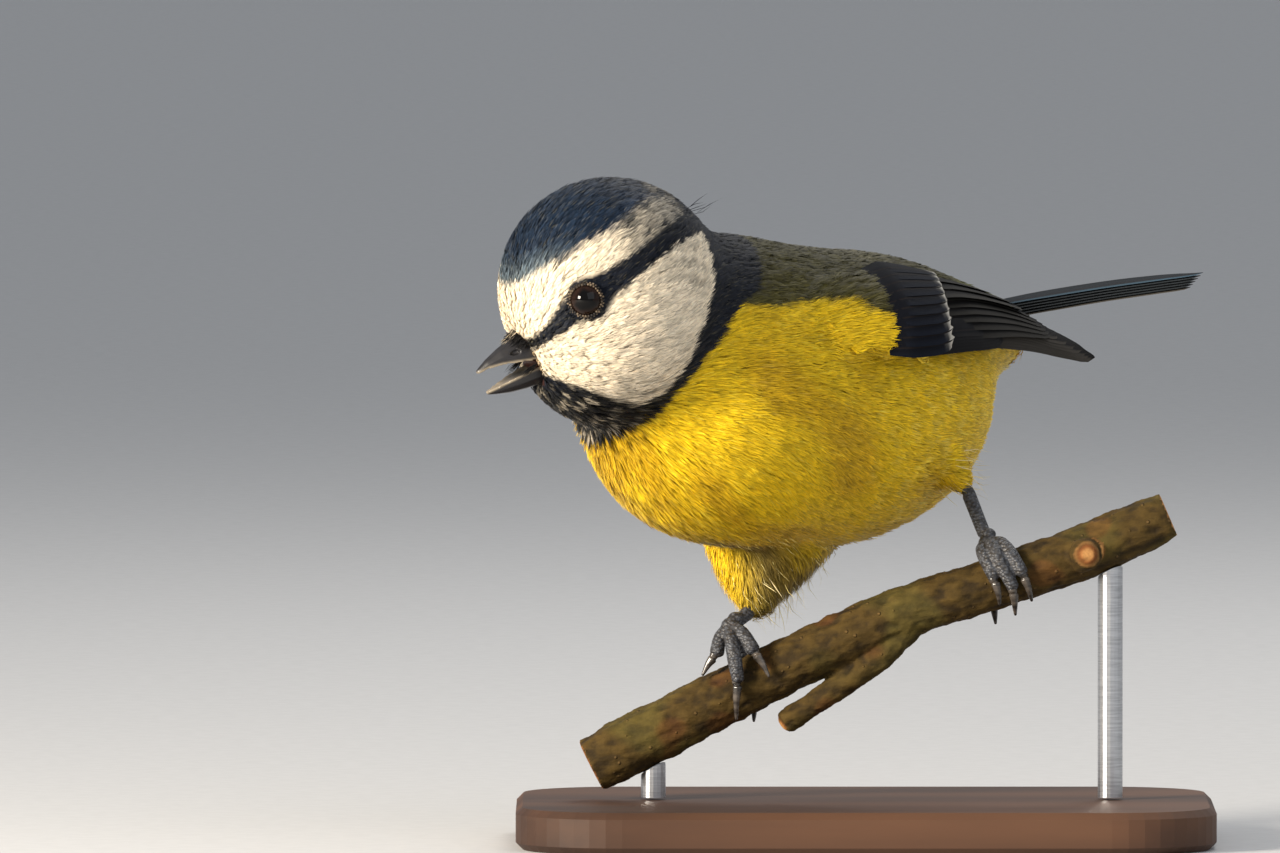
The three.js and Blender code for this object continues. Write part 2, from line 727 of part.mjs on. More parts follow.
function standBase() {
  const { length, width, thickness, corner, bevel } = BASE;
  const [x, y] = [length / 2 - bevel, width / 2 - bevel];
  const outline = new THREE.Shape();
  outline.moveTo(-x + corner, -y);
  outline.lineTo(x - corner, -y);
  outline.absarc(x - corner, -y + corner, corner, -Math.PI / 2, 0);
  outline.lineTo(x, y - corner);
  outline.absarc(x - corner, y - corner, corner, 0, Math.PI / 2);
  outline.lineTo(-x + corner, y);
  outline.absarc(-x + corner, y - corner, corner, Math.PI / 2, Math.PI);
  outline.lineTo(-x, -y + corner);
  outline.absarc(-x + corner, -y + corner, corner, Math.PI, 1.5 * Math.PI);
  const geometry = new THREE.ExtrudeGeometry(outline, {
    depth: thickness - 2 * bevel,
    bevelThickness: bevel,
    bevelSize: bevel,
    bevelSegments: 1,
    curveSegments: 5,
  });
  return solidOf(geometry, new THREE.Matrix4().makeTranslation(0, 0, bevel));
}

const ROD_X = { low: -16.5, high: 38.5 };

function rod(x) {
  const floor = BASE.thickness + GAP - BIRD_AT.z;
  const share = (x - BRANCH_LINE[0].at.x) / (BRANCH_LINE.at(-1).at.x - BRANCH_LINE[0].at.x);
  const top = branchCurve.getPointAt(share).z;
  const shaft = new THREE.CylinderGeometry(ROD_RADIUS, ROD_RADIUS, top - floor, 20);
  const place = new THREE.Matrix4()
    .makeTranslation(x, BRANCH_Y, (top + floor) / 2)
    .multiply(new THREE.Matrix4().makeRotationX(Math.PI / 2));
  return solidOf(shaft, place).subtract(roomForBranch);
}

// The whole model

const roomForBranch = branch(GAP + 0.02);
const bird = new THREE.Group();
bird.position.copy(BIRD_AT);
const add = (...parts) => bird.add(meshOf(...parts));

add("head", head(), COLOURS.cap);
const upperBill = mandible(UPPER_BILL).subtract(nostril(1)).subtract(nostril(-1));
add("bill_upper", upperBill, COLOURS.bill, 0.35);
add("bill_lower", mandible(LOWER_BILL), COLOURS.bill, 0.35);
add("neck", neck(), COLOURS.collar);
add("torso", torso(), COLOURS.yellow);
add("tail", tail(), COLOURS.tail, 0.6);
for (const [word, side, stance] of [
  ["left", 1, LEFT_STANCE],
  ["right", -1, RIGHT_STANCE],
]) {
  add("eye_" + word, eyeball(side), COLOURS.eye, 0.05);
  add("wing_" + word, wing(side), COLOURS.wing, 0.6);
  add("thigh_" + word, thigh(side), COLOURS.yellow);
  add("shank_" + word, shank(stance), COLOURS.leg, 0.5);
  add("foot_" + word, foot(stance), COLOURS.leg, 0.5);
  stance.toes.forEach((_, i) => {
    add("claw_" + word + "_" + (i + 1), claw(stance, i), COLOURS.claw, 0.3);
  });
}
add("perch", branch(), COLOURS.bark, 0.9);
add("stand_rod_low", rod(ROD_X.low), COLOURS.steel, 0.35, 1);
add("stand_rod_high", rod(ROD_X.high), COLOURS.steel, 0.35, 1);

const model = new THREE.Group();
model.add(bird);
model.add(meshOf("stand_base", standBase(), COLOURS.wood, 0.6));

export default model;
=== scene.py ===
# A blue tit on a length of branch: the looks over the CAD frame. Lengths are in millimetres
# until a mesh is made, and in metres after that.
import math

import bmesh
import bpy
import numpy as np
from mathutils import Euler, Matrix, Vector, noise
from mathutils.bvhtree import BVHTree


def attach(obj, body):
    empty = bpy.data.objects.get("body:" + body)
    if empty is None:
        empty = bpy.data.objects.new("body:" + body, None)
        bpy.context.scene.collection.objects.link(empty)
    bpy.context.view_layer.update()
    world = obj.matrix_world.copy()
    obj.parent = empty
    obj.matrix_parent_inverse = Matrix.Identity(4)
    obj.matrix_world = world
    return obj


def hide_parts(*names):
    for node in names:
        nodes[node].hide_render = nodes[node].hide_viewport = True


MM = 0.001
rng = np.random.default_rng(7)

# The bird's frames: x forward, y to its left, z up. They are those of the solids.
BIRD_AT = np.array([-9.0, 4.0, 53.0])
HEAD_AT = BIRD_AT + np.array([-21.4, -23.8, 13.1])
TRUNK_YAW = 48
HEAD_YAW, HEAD_PITCH, HEAD_ROLL = 18, 20, -4
EYE = np.array([6.1, 10.2, 3.4])
EYE_RADIUS = 2.15
EYE_AXIS = np.array([0.36, 0.92, 0.12])
TAIL_ROOT = np.array([-37.5, 0.0, 8.9])

# The photograph's scale and where its frame lies about the bird's middle.
FRAME_MM = 1280 / 8.3
FRAME_TARGET = BIRD_AT + np.array([-18.1, 0.0, -3.2])
CAMERA_ELEVATION = 2.5
CAMERA_DISTANCE = 3000


def turn(yaw, pitch=0, roll=0):
    euler = Euler((math.radians(roll), math.radians(pitch), math.radians(180 + yaw)))
    return np.array(euler.to_matrix())


TRUNK = turn(TRUNK_YAW)
HEAD = turn(HEAD_YAW, HEAD_PITCH, HEAD_ROLL)


def unit(v):
    return v / np.maximum(np.linalg.norm(v, axis=-1, keepdims=True), 1e-12)


def smooth(value, low, high):
    t = np.clip((value - low) / (high - low), 0, 1)
    return t * t * (3 - 2 * t)


def srgb(red, green, blue):
    share = np.array([red, green, blue]) / 255
    return np.where(share <= 0.04045, share / 12.92, ((share + 0.055) / 1.055) ** 2.4)


def blend_to(colour, other, weight):
    weight = np.asarray(weight)[..., None]
    return colour * (1 - weight) + other * weight


# Meshes


def object_of(name, data):
    """A mesh, a camera or a light put into the scene."""
    made = bpy.data.objects.new(name, data)
    bpy.context.scene.collection.objects.link(made)
    return made


def move_points(mesh, points):
    """Sets where a mesh's points lie, from places in mm."""
    mesh.vertices.foreach_set("co", (points * MM).astype(np.float32).ravel())


def paint(mesh, colours):
    """Gives a mesh a colour at each of its points."""
    layer = mesh.color_attributes.new("Plumage", "FLOAT_COLOR", "POINT")
    rgba = np.ones((len(colours), 4), np.float32)
    rgba[:, :3] = colours
    layer.data.foreach_set("color", rgba.ravel())


def mesh_of(name, gathered):
    """Turns a bmesh into a mesh, and frees it."""
    mesh = bpy.data.meshes.new(name)
    gathered.to_mesh(mesh)
    gathered.free()
    return mesh


def mesh_object(name, points, faces, colours=None, maps=None, normals=None):
    """An object from points in mm, faces of one size, and colours, UVs, normals per point."""
    mesh = bpy.data.meshes.new(name)
    sides = faces.shape[1]
    mesh.vertices.add(len(points))
    move_points(mesh, points)
    mesh.loops.add(faces.size)
    mesh.loops.foreach_set("vertex_index", faces.astype(np.int32).ravel())
    mesh.polygons.add(len(faces))
    mesh.polygons.foreach_set("loop_start", np.arange(len(faces), dtype=np.int32) * sides)
    mesh.update(calc_edges=True)
    mesh.polygons.foreach_set("use_smooth", np.ones(len(faces), bool))
    if colours is not None:
        paint(mesh, colours)
    for label, coords in (maps or {}).items():
        layer = mesh.uv_layers.new(name=label)
        layer.data.foreach_set("uv", coords[faces.ravel()].astype(np.float32).ravel())
    if normals is not None:
        mesh.normals_split_custom_set_from_vertices(normals.astype(np.float32))
    return object_of(name, mesh)


def remeshed(name, sources, voxel, passes, grow=0.0):
    """One smooth skin round the source meshes, which may touch or nearly touch."""
    gathered = bmesh.new()
    for source in sources:
        gathered.from_mesh(source)
    mesh = mesh_of(name, gathered)
    made = object_of(name, mesh)
    if grow:
        swell = made.modifiers.new("swell", "DISPLACE")
        swell.strength = grow * MM
        swell.mid_level = 0
    shell = made.modifiers.new("shell", "REMESH")
    shell.mode = "VOXEL"
    shell.voxel_size = voxel * MM
    shell.use_smooth_shade = True
    relax = made.modifiers.new("relax", "SMOOTH")
    relax.factor = 0.5
    relax.iterations = passes
    graph = bpy.context.evaluated_depsgraph_get()
    final = bpy.data.meshes.new_from_object(made.evaluated_get(graph))
    made.modifiers.clear()
    made.data = final
    bpy.data.meshes.remove(mesh)
    return made


def coords_of(mesh, what="co"):
    values = np.zeros(len(mesh.vertices) * 3, np.float32)
    if what == "co":
        mesh.vertices.foreach_get("co", values)
    else:
        mesh.vertex_normals.foreach_get("vector", values)
    return values.reshape(-1, 3).astype(float)


def slab_mesh(outer, inner):
    """A closed slab between two grids of points of the same size."""
    rows, columns = outer.shape[:2]
    half = rows * columns
    at = np.arange(half).reshape(rows, columns)
    rim = np.concatenate([at[0, :-1], at[:-1, -1], at[-1, :0:-1], at[:0:-1, 0]])
    after = np.roll(rim, -1)
    walls = np.stack([rim, rim + half, after + half, after], axis=1)
    broad = vane_faces(rows, columns, 0)
    faces = np.vstack([broad, broad[:, ::-1] + half, walls])
    mesh = bpy.data.meshes.new("slab")
    points = np.vstack([outer.reshape(-1, 3), inner.reshape(-1, 3)]) * MM
    mesh.from_pydata(points.tolist(), [], faces.tolist())
    return mesh


def ball_mesh(centre, semi):
    gathered = bmesh.new()
    size = Matrix.Diagonal(Vector(np.array(semi) * MM)).to_4x4()
    place = Matrix.Translation(Vector(np.array(centre) * MM)) @ size
    bmesh.ops.create_icosphere(gathered, subdivisions=3, radius=1, matrix=place)
    return mesh_of("ball", gathered)


# Materials


class Nodes:
    """A small builder for one material's nodes."""

    def __init__(self, name, roughness, metallic=0.0, specular=0.5):
        self.material = bpy.data.materials.new(name)
        self.material.use_nodes = True
        self.tree = self.material.node_tree
        self.shader = self.tree.nodes["Principled BSDF"]
        self.shader.inputs["Roughness"].default_value = roughness
        self.shader.inputs["Metallic"].default_value = metallic
        self.shader.inputs["Specular IOR Level"].default_value = specular

    def add(self, kind, inputs=None, **settings):
        node = self.tree.nodes.new(kind)
        for key, value in settings.items():
            setattr(node, key, value)
        for key, value in (inputs or {}).items():
            self.put(value, node.inputs[key])
        return node

    def put(self, value, socket):
        if isinstance(value, bpy.types.NodeSocket):
            self.tree.links.new(value, socket)
        elif isinstance(value, np.ndarray) and socket.type == "RGBA":
            socket.default_value = (*value, 1)
        else:
            socket.default_value = value

    def stretched(self, stretch):
        place = self.add("ShaderNodeTexCoord").outputs["Object"]
        return self.add("ShaderNodeMapping", {"Vector": place, "Scale": stretch}).outputs["Vector"]

    def noise(self, scale, detail=4, stretch=(1, 1, 1)):
        inputs = {"Vector": self.stretched(stretch), "Scale": scale, "Detail": detail}
        return self.add("ShaderNodeTexNoise", inputs).outputs["Fac"]

    def cells(self, scale, stretch=(1, 1, 1)):
        inputs = {"Vector": self.stretched(stretch), "Scale": scale}
        return self.add("ShaderNodeTexVoronoi", inputs).outputs["Distance"]

    def greys(self, factor, *stops):
        """A ramp between shades of grey, to lighten and darken another colour by."""
        return self.ramp(factor, [(place, (shade,) * 3) for place, shade in stops])

    def shaded(self, grey):
        """The piece's own colours, lightened and darkened by a grey."""
        own = self.add("ShaderNodeVertexColor", layer_name="Plumage").outputs["Color"]
        return self.mix(1.0, own, grey, "MULTIPLY")

    def ramp(self, factor, stops):
        made = self.add("ShaderNodeValToRGB", {"Fac": factor})
        elements = made.color_ramp.elements
        while len(elements) < len(stops):
            elements.new(0.5)
        for element, (place, colour) in zip(elements, stops):
            element.position = place
            element.color = (*colour, 1)
        return made.outputs["Color"]

    def mix(self, factor, first, second, mode="MIX"):
        made = self.add("ShaderNodeMix", data_type="RGBA", blend_type=mode)
        self.put(factor, made.inputs[0])
        self.put(first, made.inputs[6])
        self.put(second, made.inputs[7])
        return made.outputs[2]

    def math(self, operation, first, second=0.0):
        made = self.add("ShaderNodeMath", operation=operation)
        self.put(first, made.inputs[0])
        self.put(second, made.inputs[1])
        return made.outputs[0]

    def finish(self, colour, bump=None, height=0.0001, strength=0.5):
        self.put(colour, self.shader.inputs["Base Color"])
        if bump is not None:
            made = self.add(
                "ShaderNodeBump", {"Height": bump, "Distance": height, "Strength": strength}
            )
            self.put(made.outputs["Normal"], self.shader.inputs["Normal"])
        return self.material


def plumage_material():
    """Feather barbs in the colour that each point carries, a little uneven."""
    made = Nodes("plumage", 0.6, specular=0.2)
    made.shader.inputs["Sheen Weight"].default_value = 0.04
    uneven = made.greys(made.noise(900, 3), (0.3, 0.86), (0.7, 1.1))
    return made.finish(made.shaded(uneven))


def vane_material():
    """A flight feather: fine slanting barbs either side of a shaft, in its own colours."""
    made = Nodes("flight feathers", 0.72, specular=0.1)
    uv = made.add("ShaderNodeUVMap", uv_map="Vane").outputs["UV"]
    split = made.add("ShaderNodeSeparateXYZ", {"Vector": uv})
    across, along = split.outputs["X"], split.outputs["Y"]
    from_shaft = made.math("ABSOLUTE", made.math("SUBTRACT", across, SHAFT))
    slant = made.math("SUBTRACT", along, made.math("MULTIPLY", from_shaft, 0.35))
    barbs = made.math("SINE", made.math("MULTIPLY", slant, 420.0))
    shade = made.greys(made.math("MULTIPLY_ADD", barbs, 0.5), (0.0, 0.82), (1.0, 1.12))
    shaft = made.math("LESS_THAN", from_shaft, 0.035)
    coloured = made.shaded(shade)
    coloured = made.mix(shaft, coloured, srgb(28, 24, 24))
    return made.finish(coloured, barbs, 0.00003, 0.4)


def skin_material():
    """The ground that shows between the feathers, in their colours darkened as painted shade."""
    made = Nodes("skin", 0.8, specular=0.15)
    grain = made.noise(2200, 2)
    # Darker than the plumage: painted shade under the feathers, a little uneven.
    uneven = made.greys(grain, (0.3, 0.6), (0.7, 0.85))
    return made.finish(made.shaded(uneven), grain)


def bill_material():
    """Blackish streaked horn over each point's colour, which holds a painted highlight along the
    cutting edges.
    """
    made = Nodes("bill horn", 0.34, specular=0.45)
    streaks = made.noise(420, 5, (1, 1, 2.5))
    uneven = made.greys(streaks, (0.3, 0.7), (0.7, 1.25))
    return made.finish(made.shaded(uneven), streaks, 0.00004, 0.3)


def down_material():
    """The dark down under the wings."""
    made = Nodes("down", 0.85, specular=0.1)
    grain = made.noise(900, 3)
    return made.finish(made.ramp(grain, [(0.3, srgb(34, 36, 42)), (0.7, srgb(58, 60, 66))]), grain)


def claw_material():
    """Dark horn with faint lengthwise streaks."""
    made = Nodes("claw horn", 0.25, specular=0.5)
    streaks = made.noise(500, 5, (1, 1, 3))
    colour = made.ramp(streaks, [(0.35, srgb(34, 31, 29)), (0.75, srgb(92, 84, 76))])
    return made.finish(colour, streaks, 0.00005, 0.3)


def scute_material():
    """Bare legs and toes: small overlapping plates, slate grey with pale seams."""
    made = Nodes("scutes", 0.45, specular=0.45)
    plates = made.cells(2100, (1, 1, 1.5))
    grime = made.noise(700, 4)
    colour = made.ramp(
        plates, [(0.0, srgb(92, 98, 106)), (0.45, srgb(60, 64, 72)), (0.8, srgb(24, 25, 28))]
    )
    stained = made.mix(made.math("MULTIPLY", grime, 0.5), colour, srgb(70, 62, 52))
    return made.finish(stained, made.math("SUBTRACT", 1.0, plates), 0.0002, 0.8)


def bark_material():
    """Cracked bark with small pale lenticels, over the colour that each point carries."""
    made = Nodes("bark", 0.85, specular=0.2)
    fine = made.noise(800, 6, (0.5, 1, 1))
    grain = made.greys(fine, (0.25, 0.45), (0.5, 0.95), (0.75, 1.4))
    spots = made.greys(made.cells(620), (0.08, 1), (0.16, 0))
    colour = made.shaded(grain)
    dotted = made.mix(made.math("MULTIPLY", spots, 0.35), colour, srgb(128, 100, 60))
    height = made.math("ADD", fine, made.math("MULTIPLY", spots, 0.5))
    return made.finish(dotted, height, 0.0005, 0.9)


def stand_wood_material():
    made = Nodes("stand wood", 0.6, specular=0.35)
    grain = made.noise(60, 6, (0.12, 1, 1))
    colour = made.ramp(grain, [(0.35, srgb(54, 35, 24)), (0.65, srgb(92, 62, 42))])
    return made.finish(colour, grain, 0.0001, 0.25)


def steel_material():
    made = Nodes("brushed steel", 0.32, metallic=1.0)
    brushed = made.noise(400, 4, (1, 1, 14))
    colour = made.ramp(brushed, [(0.3, (0.42, 0.43, 0.45)), (0.7, (0.62, 0.63, 0.65))])
    return made.finish(colour, brushed, 0.00002, 0.3)


def eye_material():
    """A dark brown iris round a black pupil under a clear wet surface."""
    made = Nodes("eye", 0.06, specular=0.22)
    flecks = made.greys(made.noise(2600, 3), (0.3, 0.7), (0.7, 1.3))
    return made.finish(made.shaded(flecks))


def lid_material():
    made = Nodes("eyelid", 0.5, specular=0.4)
    colour = made.ramp(made.noise(1600, 2), [(0.45, srgb(30, 26, 24)), (0.62, srgb(120, 104, 84))])
    return made.finish(colour)


# Camera, lights and floor

SENSOR_WIDTH = 36
FLOOR_HALF = 40000.0
FLOOR_DROP = 0.05  # keeps the floor just clear of the stand
WORLD_COLOUR = (0.9, 0.94, 1, 1)
WORLD_STRENGTH = 0.42
# Each light: name, place from the bird in metres, size, watts and colour.
LIGHTS = [
    ("key", (-0.6, -0.46, 0.2), 0.22, 13.0, (1, 0.9, 0.76)),
    ("fill", (0.45, -0.6, 0.4), 0.7, 1.6, (0.92, 0.95, 1)),
    ("rim", (0.2, 0.5, 0.6), 0.35, 2.0, (1, 0.97, 0.93)),
]


def place_camera():
    data = bpy.data.cameras.new("camera")
    made = object_of("camera", data)
    data.sensor_width = SENSOR_WIDTH
    data.lens = SENSOR_WIDTH * CAMERA_DISTANCE / FRAME_MM
    data.clip_start = 0.05
    data.clip_end = 20
    tilt = math.radians(CAMERA_ELEVATION)
    away = np.array([0, -math.cos(tilt), math.sin(tilt)]) * CAMERA_DISTANCE
    made.location = (FRAME_TARGET + away) * MM
    made.rotation_euler = (math.pi / 2 - tilt, 0, 0)
    bpy.context.scene.camera = made


def place_lights():
    bpy.context.scene.view_settings.view_transform = "Standard"
    world = bpy.data.worlds.new("studio")
    world.use_nodes = True
    background = world.node_tree.nodes["Background"]
    background.inputs["Color"].default_value = WORLD_COLOUR
    background.inputs["Strength"].default_value = WORLD_STRENGTH
    bpy.context.scene.world = world
    centre = Vector(BIRD_AT * MM)
    for name, offset, size, power, colour in LIGHTS:
        data = bpy.data.lights.new(name, "AREA")
        data.size = size
        data.energy = power
        data.color = colour
        made = object_of(name, data)
        made.location = centre + Vector(offset)
        aim = (centre - made.location).to_track_quat("-Z", "Y")
        made.rotation_euler = aim.to_euler()


def place_floor():
    corners = np.array([[-1, -1, 0], [1, -1, 0], [1, 1, 0], [-1, 1, 0]]) * FLOOR_HALF
    floor = mesh_object("floor", corners - [0, 0, FLOOR_DROP], np.array([[0, 1, 2, 3]]))
    made = Nodes("floor", 0.85, specular=0.2)
    grain = made.greys(made.noise(400, 3), (0.4, 0.6), (0.6, 0.62))
    floor.data.materials.append(made.finish(grain))


# Markings: a colour for each point of the plumage, from where it lies on the bird. Head lines
# are (forward, up) pairs in the head's frame.

CAP_EDGE = [
    (-6.8, 11.2), (-4, 11.0), (-1.4, 10.2), (2.1, 9.4),
    (4.2, 9.2), (6.7, 8.2), (8.9, 7.8), (12.5, 6.0),
]
STRIPE_TOP = [
    (-8, 7.8), (-4.6, 7.5), (-1.6, 6.7), (0.9, 6.2),
    (3.4, 5.9), (5.5, 5.7), (7.3, 4.9), (9.5, 3.1), (11.4, 1.1), (12.8, -0.4),
]
CHEEK_CENTRE = np.array([1.0, -3.0])
CHEEK_EDGE = [
    (-10.9, 4.8), (-11, 2.8), (-10.7, 0.9), (-9.6, -1.4), (-7.6, -3.3), (-4.9, -6.1),
    (-2.2, -9.2), (-0.3, -10.3), (1.5, -11.0), (3.5, -11.2), (5.8, -9.8), (8.0, -7.9),
    (10.0, -6.3), (12.4, -4.2), (12.6, -1.4), (9.9, 0.1), (8.3, 0.8), (4, 2.0),
    (1.9, 3.1), (-0.8, 4.1), (-3.4, 4.7), (-6.8, 5.2),
]
HOOD_EDGE = [
    (-20.6, 30), (-20.0, 4), (-19.4, -1), (-18.3, -2.7), (-15.8, -4.8), (-12.7, -5.1),
    (-10.4, -6.4), (-8.2, -8), (-5.6, -9.2), (-3.2, -10.7), (0.9, -13.2), (3, -14.0),
    (5.1, -15.2), (6.2, -16.4), (13, -18),
]
MANTLE_FROM = 11.6
BILL_ROOT = np.array([14.5, 0.0, -2.6])

CAP_BLUE = srgb(24, 40, 60)
CAP_PALE = srgb(98, 112, 120)
NAVY = srgb(13, 19, 31)
BIB = srgb(17, 17, 19)
WHITE = srgb(248, 232, 204)
BROW_GREY = srgb(98, 96, 90)
CHEEK_GREY = srgb(150, 140, 126)
GAPE = srgb(58, 32, 26)
YELLOW = srgb(240, 200, 24)
YELLOW_DEEP = srgb(196, 150, 16)
YELLOW_PALE = srgb(240, 220, 110)
OLIVE = srgb(74, 68, 24)
RUMP = srgb(104, 106, 50)
VENT = srgb(216, 206, 150)
BELLY_STREAK = srgb(92, 84, 64)
COVERT_BLUE = srgb(13, 16, 24)


def in_head(points):
    return (points - HEAD_AT) @ HEAD


def in_trunk(points):
    return (points - BIRD_AT) @ TRUNK


def from_trunk(points):
    return BIRD_AT + np.asarray(points) @ TRUNK.T


def from_head(points):
    return HEAD_AT + np.asarray(points) @ HEAD.T


def patchy(points, size, seed):
    """Soft patches between 0 and 1, about size mm across."""
    own = np.random.default_rng(seed)
    ways = own.normal(size=(6, 3)) / size
    phases = own.uniform(0, math.tau, 6)
    return 0.5 + np.sin(points @ ways.T + phases).sum(-1) / 7


def cheek_depth(f, u):
    """How far inside the white cheek a point lies, by its bearing from the cheek's middle."""
    edge = np.array(CHEEK_EDGE) - CHEEK_CENTRE
    bearing = np.arctan2(edge[:, 1], edge[:, 0])
    order = np.argsort(bearing)
    reach = np.linalg.norm(edge, axis=1)[order]
    at = np.arctan2(u - CHEEK_CENTRE[1], f - CHEEK_CENTRE[0])
    limit = np.interp(at, bearing[order], reach, period=math.tau)
    return limit - np.hypot(u - CHEEK_CENTRE[1], f - CHEEK_CENTRE[0])


def wing_place(points):
    """Where a point lies on the folded wing's sheet: s towards the tip and t from the back."""
    x, y, z = in_trunk(points).T
    s = np.interp(-x, [-9, 0, 12, 24, 36, 48], np.linspace(0, 1, 6))
    s = np.where(x > 9, (9 - x) / 45, s)
    right = np.where(y < 0, RIGHT_WING_LIFT * np.clip(s, 0, 1) ** 2, 0)
    upper = np.interp(-x, [-p[0] for p in WING_UPPER], [p[2] for p in WING_UPPER])
    lower = np.interp(-x, [-p[0] for p in WING_LOWER], [p[2] for p in WING_LOWER])
    return s, (upper + right - z) / (upper - lower), np.abs(y)


def belly_colour(points):
    """Yellow, with deeper patches, a dusky streak below and paler trousers and vent."""
    x, y, z = in_trunk(points).T
    colour = blend_to(YELLOW, YELLOW_DEEP, smooth(patchy(points, 2.6, 11), 0.45, 0.85) * 0.6)
    streaks = patchy(points, 0.7, 21) * smooth(6 - x, -14, 12)
    colour = blend_to(colour, YELLOW_PALE, smooth(streaks, 0.5, 0.85) * 0.3)
    middle = np.exp(-((y / 2.6) ** 2)) * smooth(-z, 9, 12.5) * smooth(20 - x, 0, 5)
    colour = blend_to(colour, BELLY_STREAK, middle * 0.75)
    colour = blend_to(colour, VENT, smooth(-x, 22, 36) * smooth(6 - z, 0, 6) * 0.8)
    trouser = smooth(-z, 18, 22) * smooth(-x, 0, 8)
    return blend_to(colour, VENT, trouser * 0.55)


def mantle(points):
    """The olive back's colour, and how much of it shows at each point."""
    x, _, z = in_trunk(points).T
    s, t, _ = wing_place(points)
    above = smooth(z - MANTLE_FROM - 1.4 * (patchy(points, 1.5, 31) - 0.5), -0.4, 0.6)
    above = np.maximum(above, smooth(0.6 - t, 0, 0.2) * smooth(s, 0.3, 0.36))
    back = blend_to(OLIVE, RUMP, smooth(-x, 20, 32) * 0.8)
    return back * (0.8 + 0.4 * patchy(points, 0.9, 41))[..., None], above


def covert_share(points):
    """How far a point lies among the small dark feathers at the wing's bend."""
    s, t, out = wing_place(points)
    start = np.maximum(0.31 - 0.24 * t, 0.13 + 0.28 * (t - 0.75))
    ragged = 0.06 * (patchy(points, 0.8, 43) - 0.5)
    covert = smooth(s - start - ragged, -0.012, 0.012) * smooth(out, 6, 8)
    return covert * smooth(t, -0.15, -0.02) * smooth(1.1 - t, 0, 0.08)


def body_colour(points):
    colour = blend_to(belly_colour(points), *mantle(points))
    return blend_to(colour, COVERT_BLUE, covert_share(points))


def brow(points, f, u):
    """The pale band over the eye, streaked with grey and navy behind, and its share."""
    stripe = np.interp(f, *np.array(STRIPE_TOP).T)
    fleck = smooth(patchy(points, 0.5, 53), 0.4, 0.7)
    rear = smooth(2.5 - f, 0, 5)
    colour = blend_to(WHITE, BROW_GREY, rear * (0.6 + 0.4 * fleck))
    colour = blend_to(colour, NAVY, smooth(-f, 0, 7) * (0.2 + 0.6 * fleck))
    return colour, smooth(u - stripe, -0.35, 0.35) * smooth(f, -10.2, -8.6)


def cap(points, f, u):
    """The blue cap, paler above the forehead, and its share."""
    edge = np.interp(f, *np.array(CAP_EDGE).T)
    colour = blend_to(CAP_BLUE, CAP_PALE, smooth(edge + 2.4 - u, 0, 2.4) * smooth(f, 4, 11))
    colour = colour * (0.8 + 0.4 * patchy(points, 0.8, 61))[..., None]
    return colour, smooth(u - edge, -0.5, 0.5) * smooth(f, -7.6, -6.0)


def cheek(points, f, u):
    """The white cheek with grey flecks, and its share."""
    colour = WHITE * (0.9 + 0.14 * patchy(points, 1.8, 71))[..., None]
    flecks = smooth(patchy(points, 0.5, 73), 0.6, 0.8) * 0.35
    return blend_to(colour, CHEEK_GREY, flecks), smooth(cheek_depth(f, u), -0.3, 0.3)


def head_colour(points):
    f, _, u = in_head(points).T
    colour = np.tile(NAVY, (len(points), 1))
    chin = smooth(-u, 5, 9) * smooth(f, -2, 3)
    colour = blend_to(colour, BIB, chin)
    speckles = smooth(patchy(points, 0.45, 51), 0.66, 0.8) * chin * smooth(f, 2, 7)
    colour = blend_to(colour, WHITE * 0.5, speckles)
    for field in (brow, cap, cheek):
        colour = blend_to(colour, *field(points, f, u))
    ring = smooth(3.15 - near_eye(points), 0, 0.5)
    colour = blend_to(colour, NAVY, ring)
    bill_base = smooth(f, 11.4, 12.4) * smooth(0.9 - np.abs(u + 0.5), 0, 0.5)
    colour = blend_to(colour, BIB, bill_base)
    return blend_to(colour, GAPE, np.where(in_bill(points), 1.0, 0.0))


def hood(points):
    """Where the head's markings reach: down to the collar's outer edge."""
    f, side, u = in_head(points).T
    edge = np.interp(f, *np.array(HOOD_EDGE).T)
    return smooth(u - edge, -0.35, 0.35) * smooth(14.6 - np.abs(side), 0, 1)


def markings(points):
    return blend_to(body_colour(points), head_colour(points), hood(points))


def eye_at(side):
    """An eye's middle in the head's frame: side is 1 on the left and -1 on the right."""
    return EYE * [1, side, 1]


def side_axis(side):
    """The way that an eye looks, in the head's frame."""
    return unit(EYE_AXIS * [1, side, 1])


def near_eye(points):
    """The distance to the middle of the nearer eye's opening."""
    local = in_head(points)
    openings = [eye_at(side) + side_axis(side) * 1.2 for side in (1, -1)]
    return np.minimum(*[np.linalg.norm(local - at, axis=1) for at in openings])


def in_bill(points):
    f, side, u = in_head(points).T
    return (f > 10.6) & (np.abs(side) < 2.6) & (u < 0.0) & (u > -6.3)


# Skin: the flesh nodes and the wings' shoulders as one surface, drawn in by the coat's depth

FLESH = ("head", "neck", "torso", "thigh_left", "thigh_right")
BODY_DEPTH = 1.0
HEAD_DEPTH = 0.55
SKIN_VOXEL = 0.5
SKIN_GROW = 0.22  # closes the gaps between the nodes
SHOULDER_END = 0.285  # how far along the wing its sheet is dressed as body
# Balls that close the skin behind the bill and the eyes.
BILL_PLUG_AT, BILL_PLUG = (9.8, 0, -3.2), (2.8, 2.6, 3.2)
EYE_PLUG = (2.5, 2.5, 2.5)


def coat_depth(points):
    near_head = smooth(20 - np.linalg.norm(in_head(points), axis=1), 0, 6)
    return BODY_DEPTH + (HEAD_DEPTH - BODY_DEPTH) * near_head


def shoulder_mesh(side, first, last, rise, sink):
    """A slab along the folded wing's sheet, from s = first to s = last."""
    ROWS, COLUMNS = 14, 9
    shares = np.linspace(first, last, ROWS), np.linspace(0, 1, COLUMNS)
    s, t = np.meshgrid(*shares, indexing="ij")
    out = sheet_out(side, s, t)
    outer = sheet_point(side, s, t) + out * rise
    inner = sheet_point(side, s, t) - out * sink * (1 - s)[..., None]
    return slab_mesh(from_trunk(outer), from_trunk(inner))


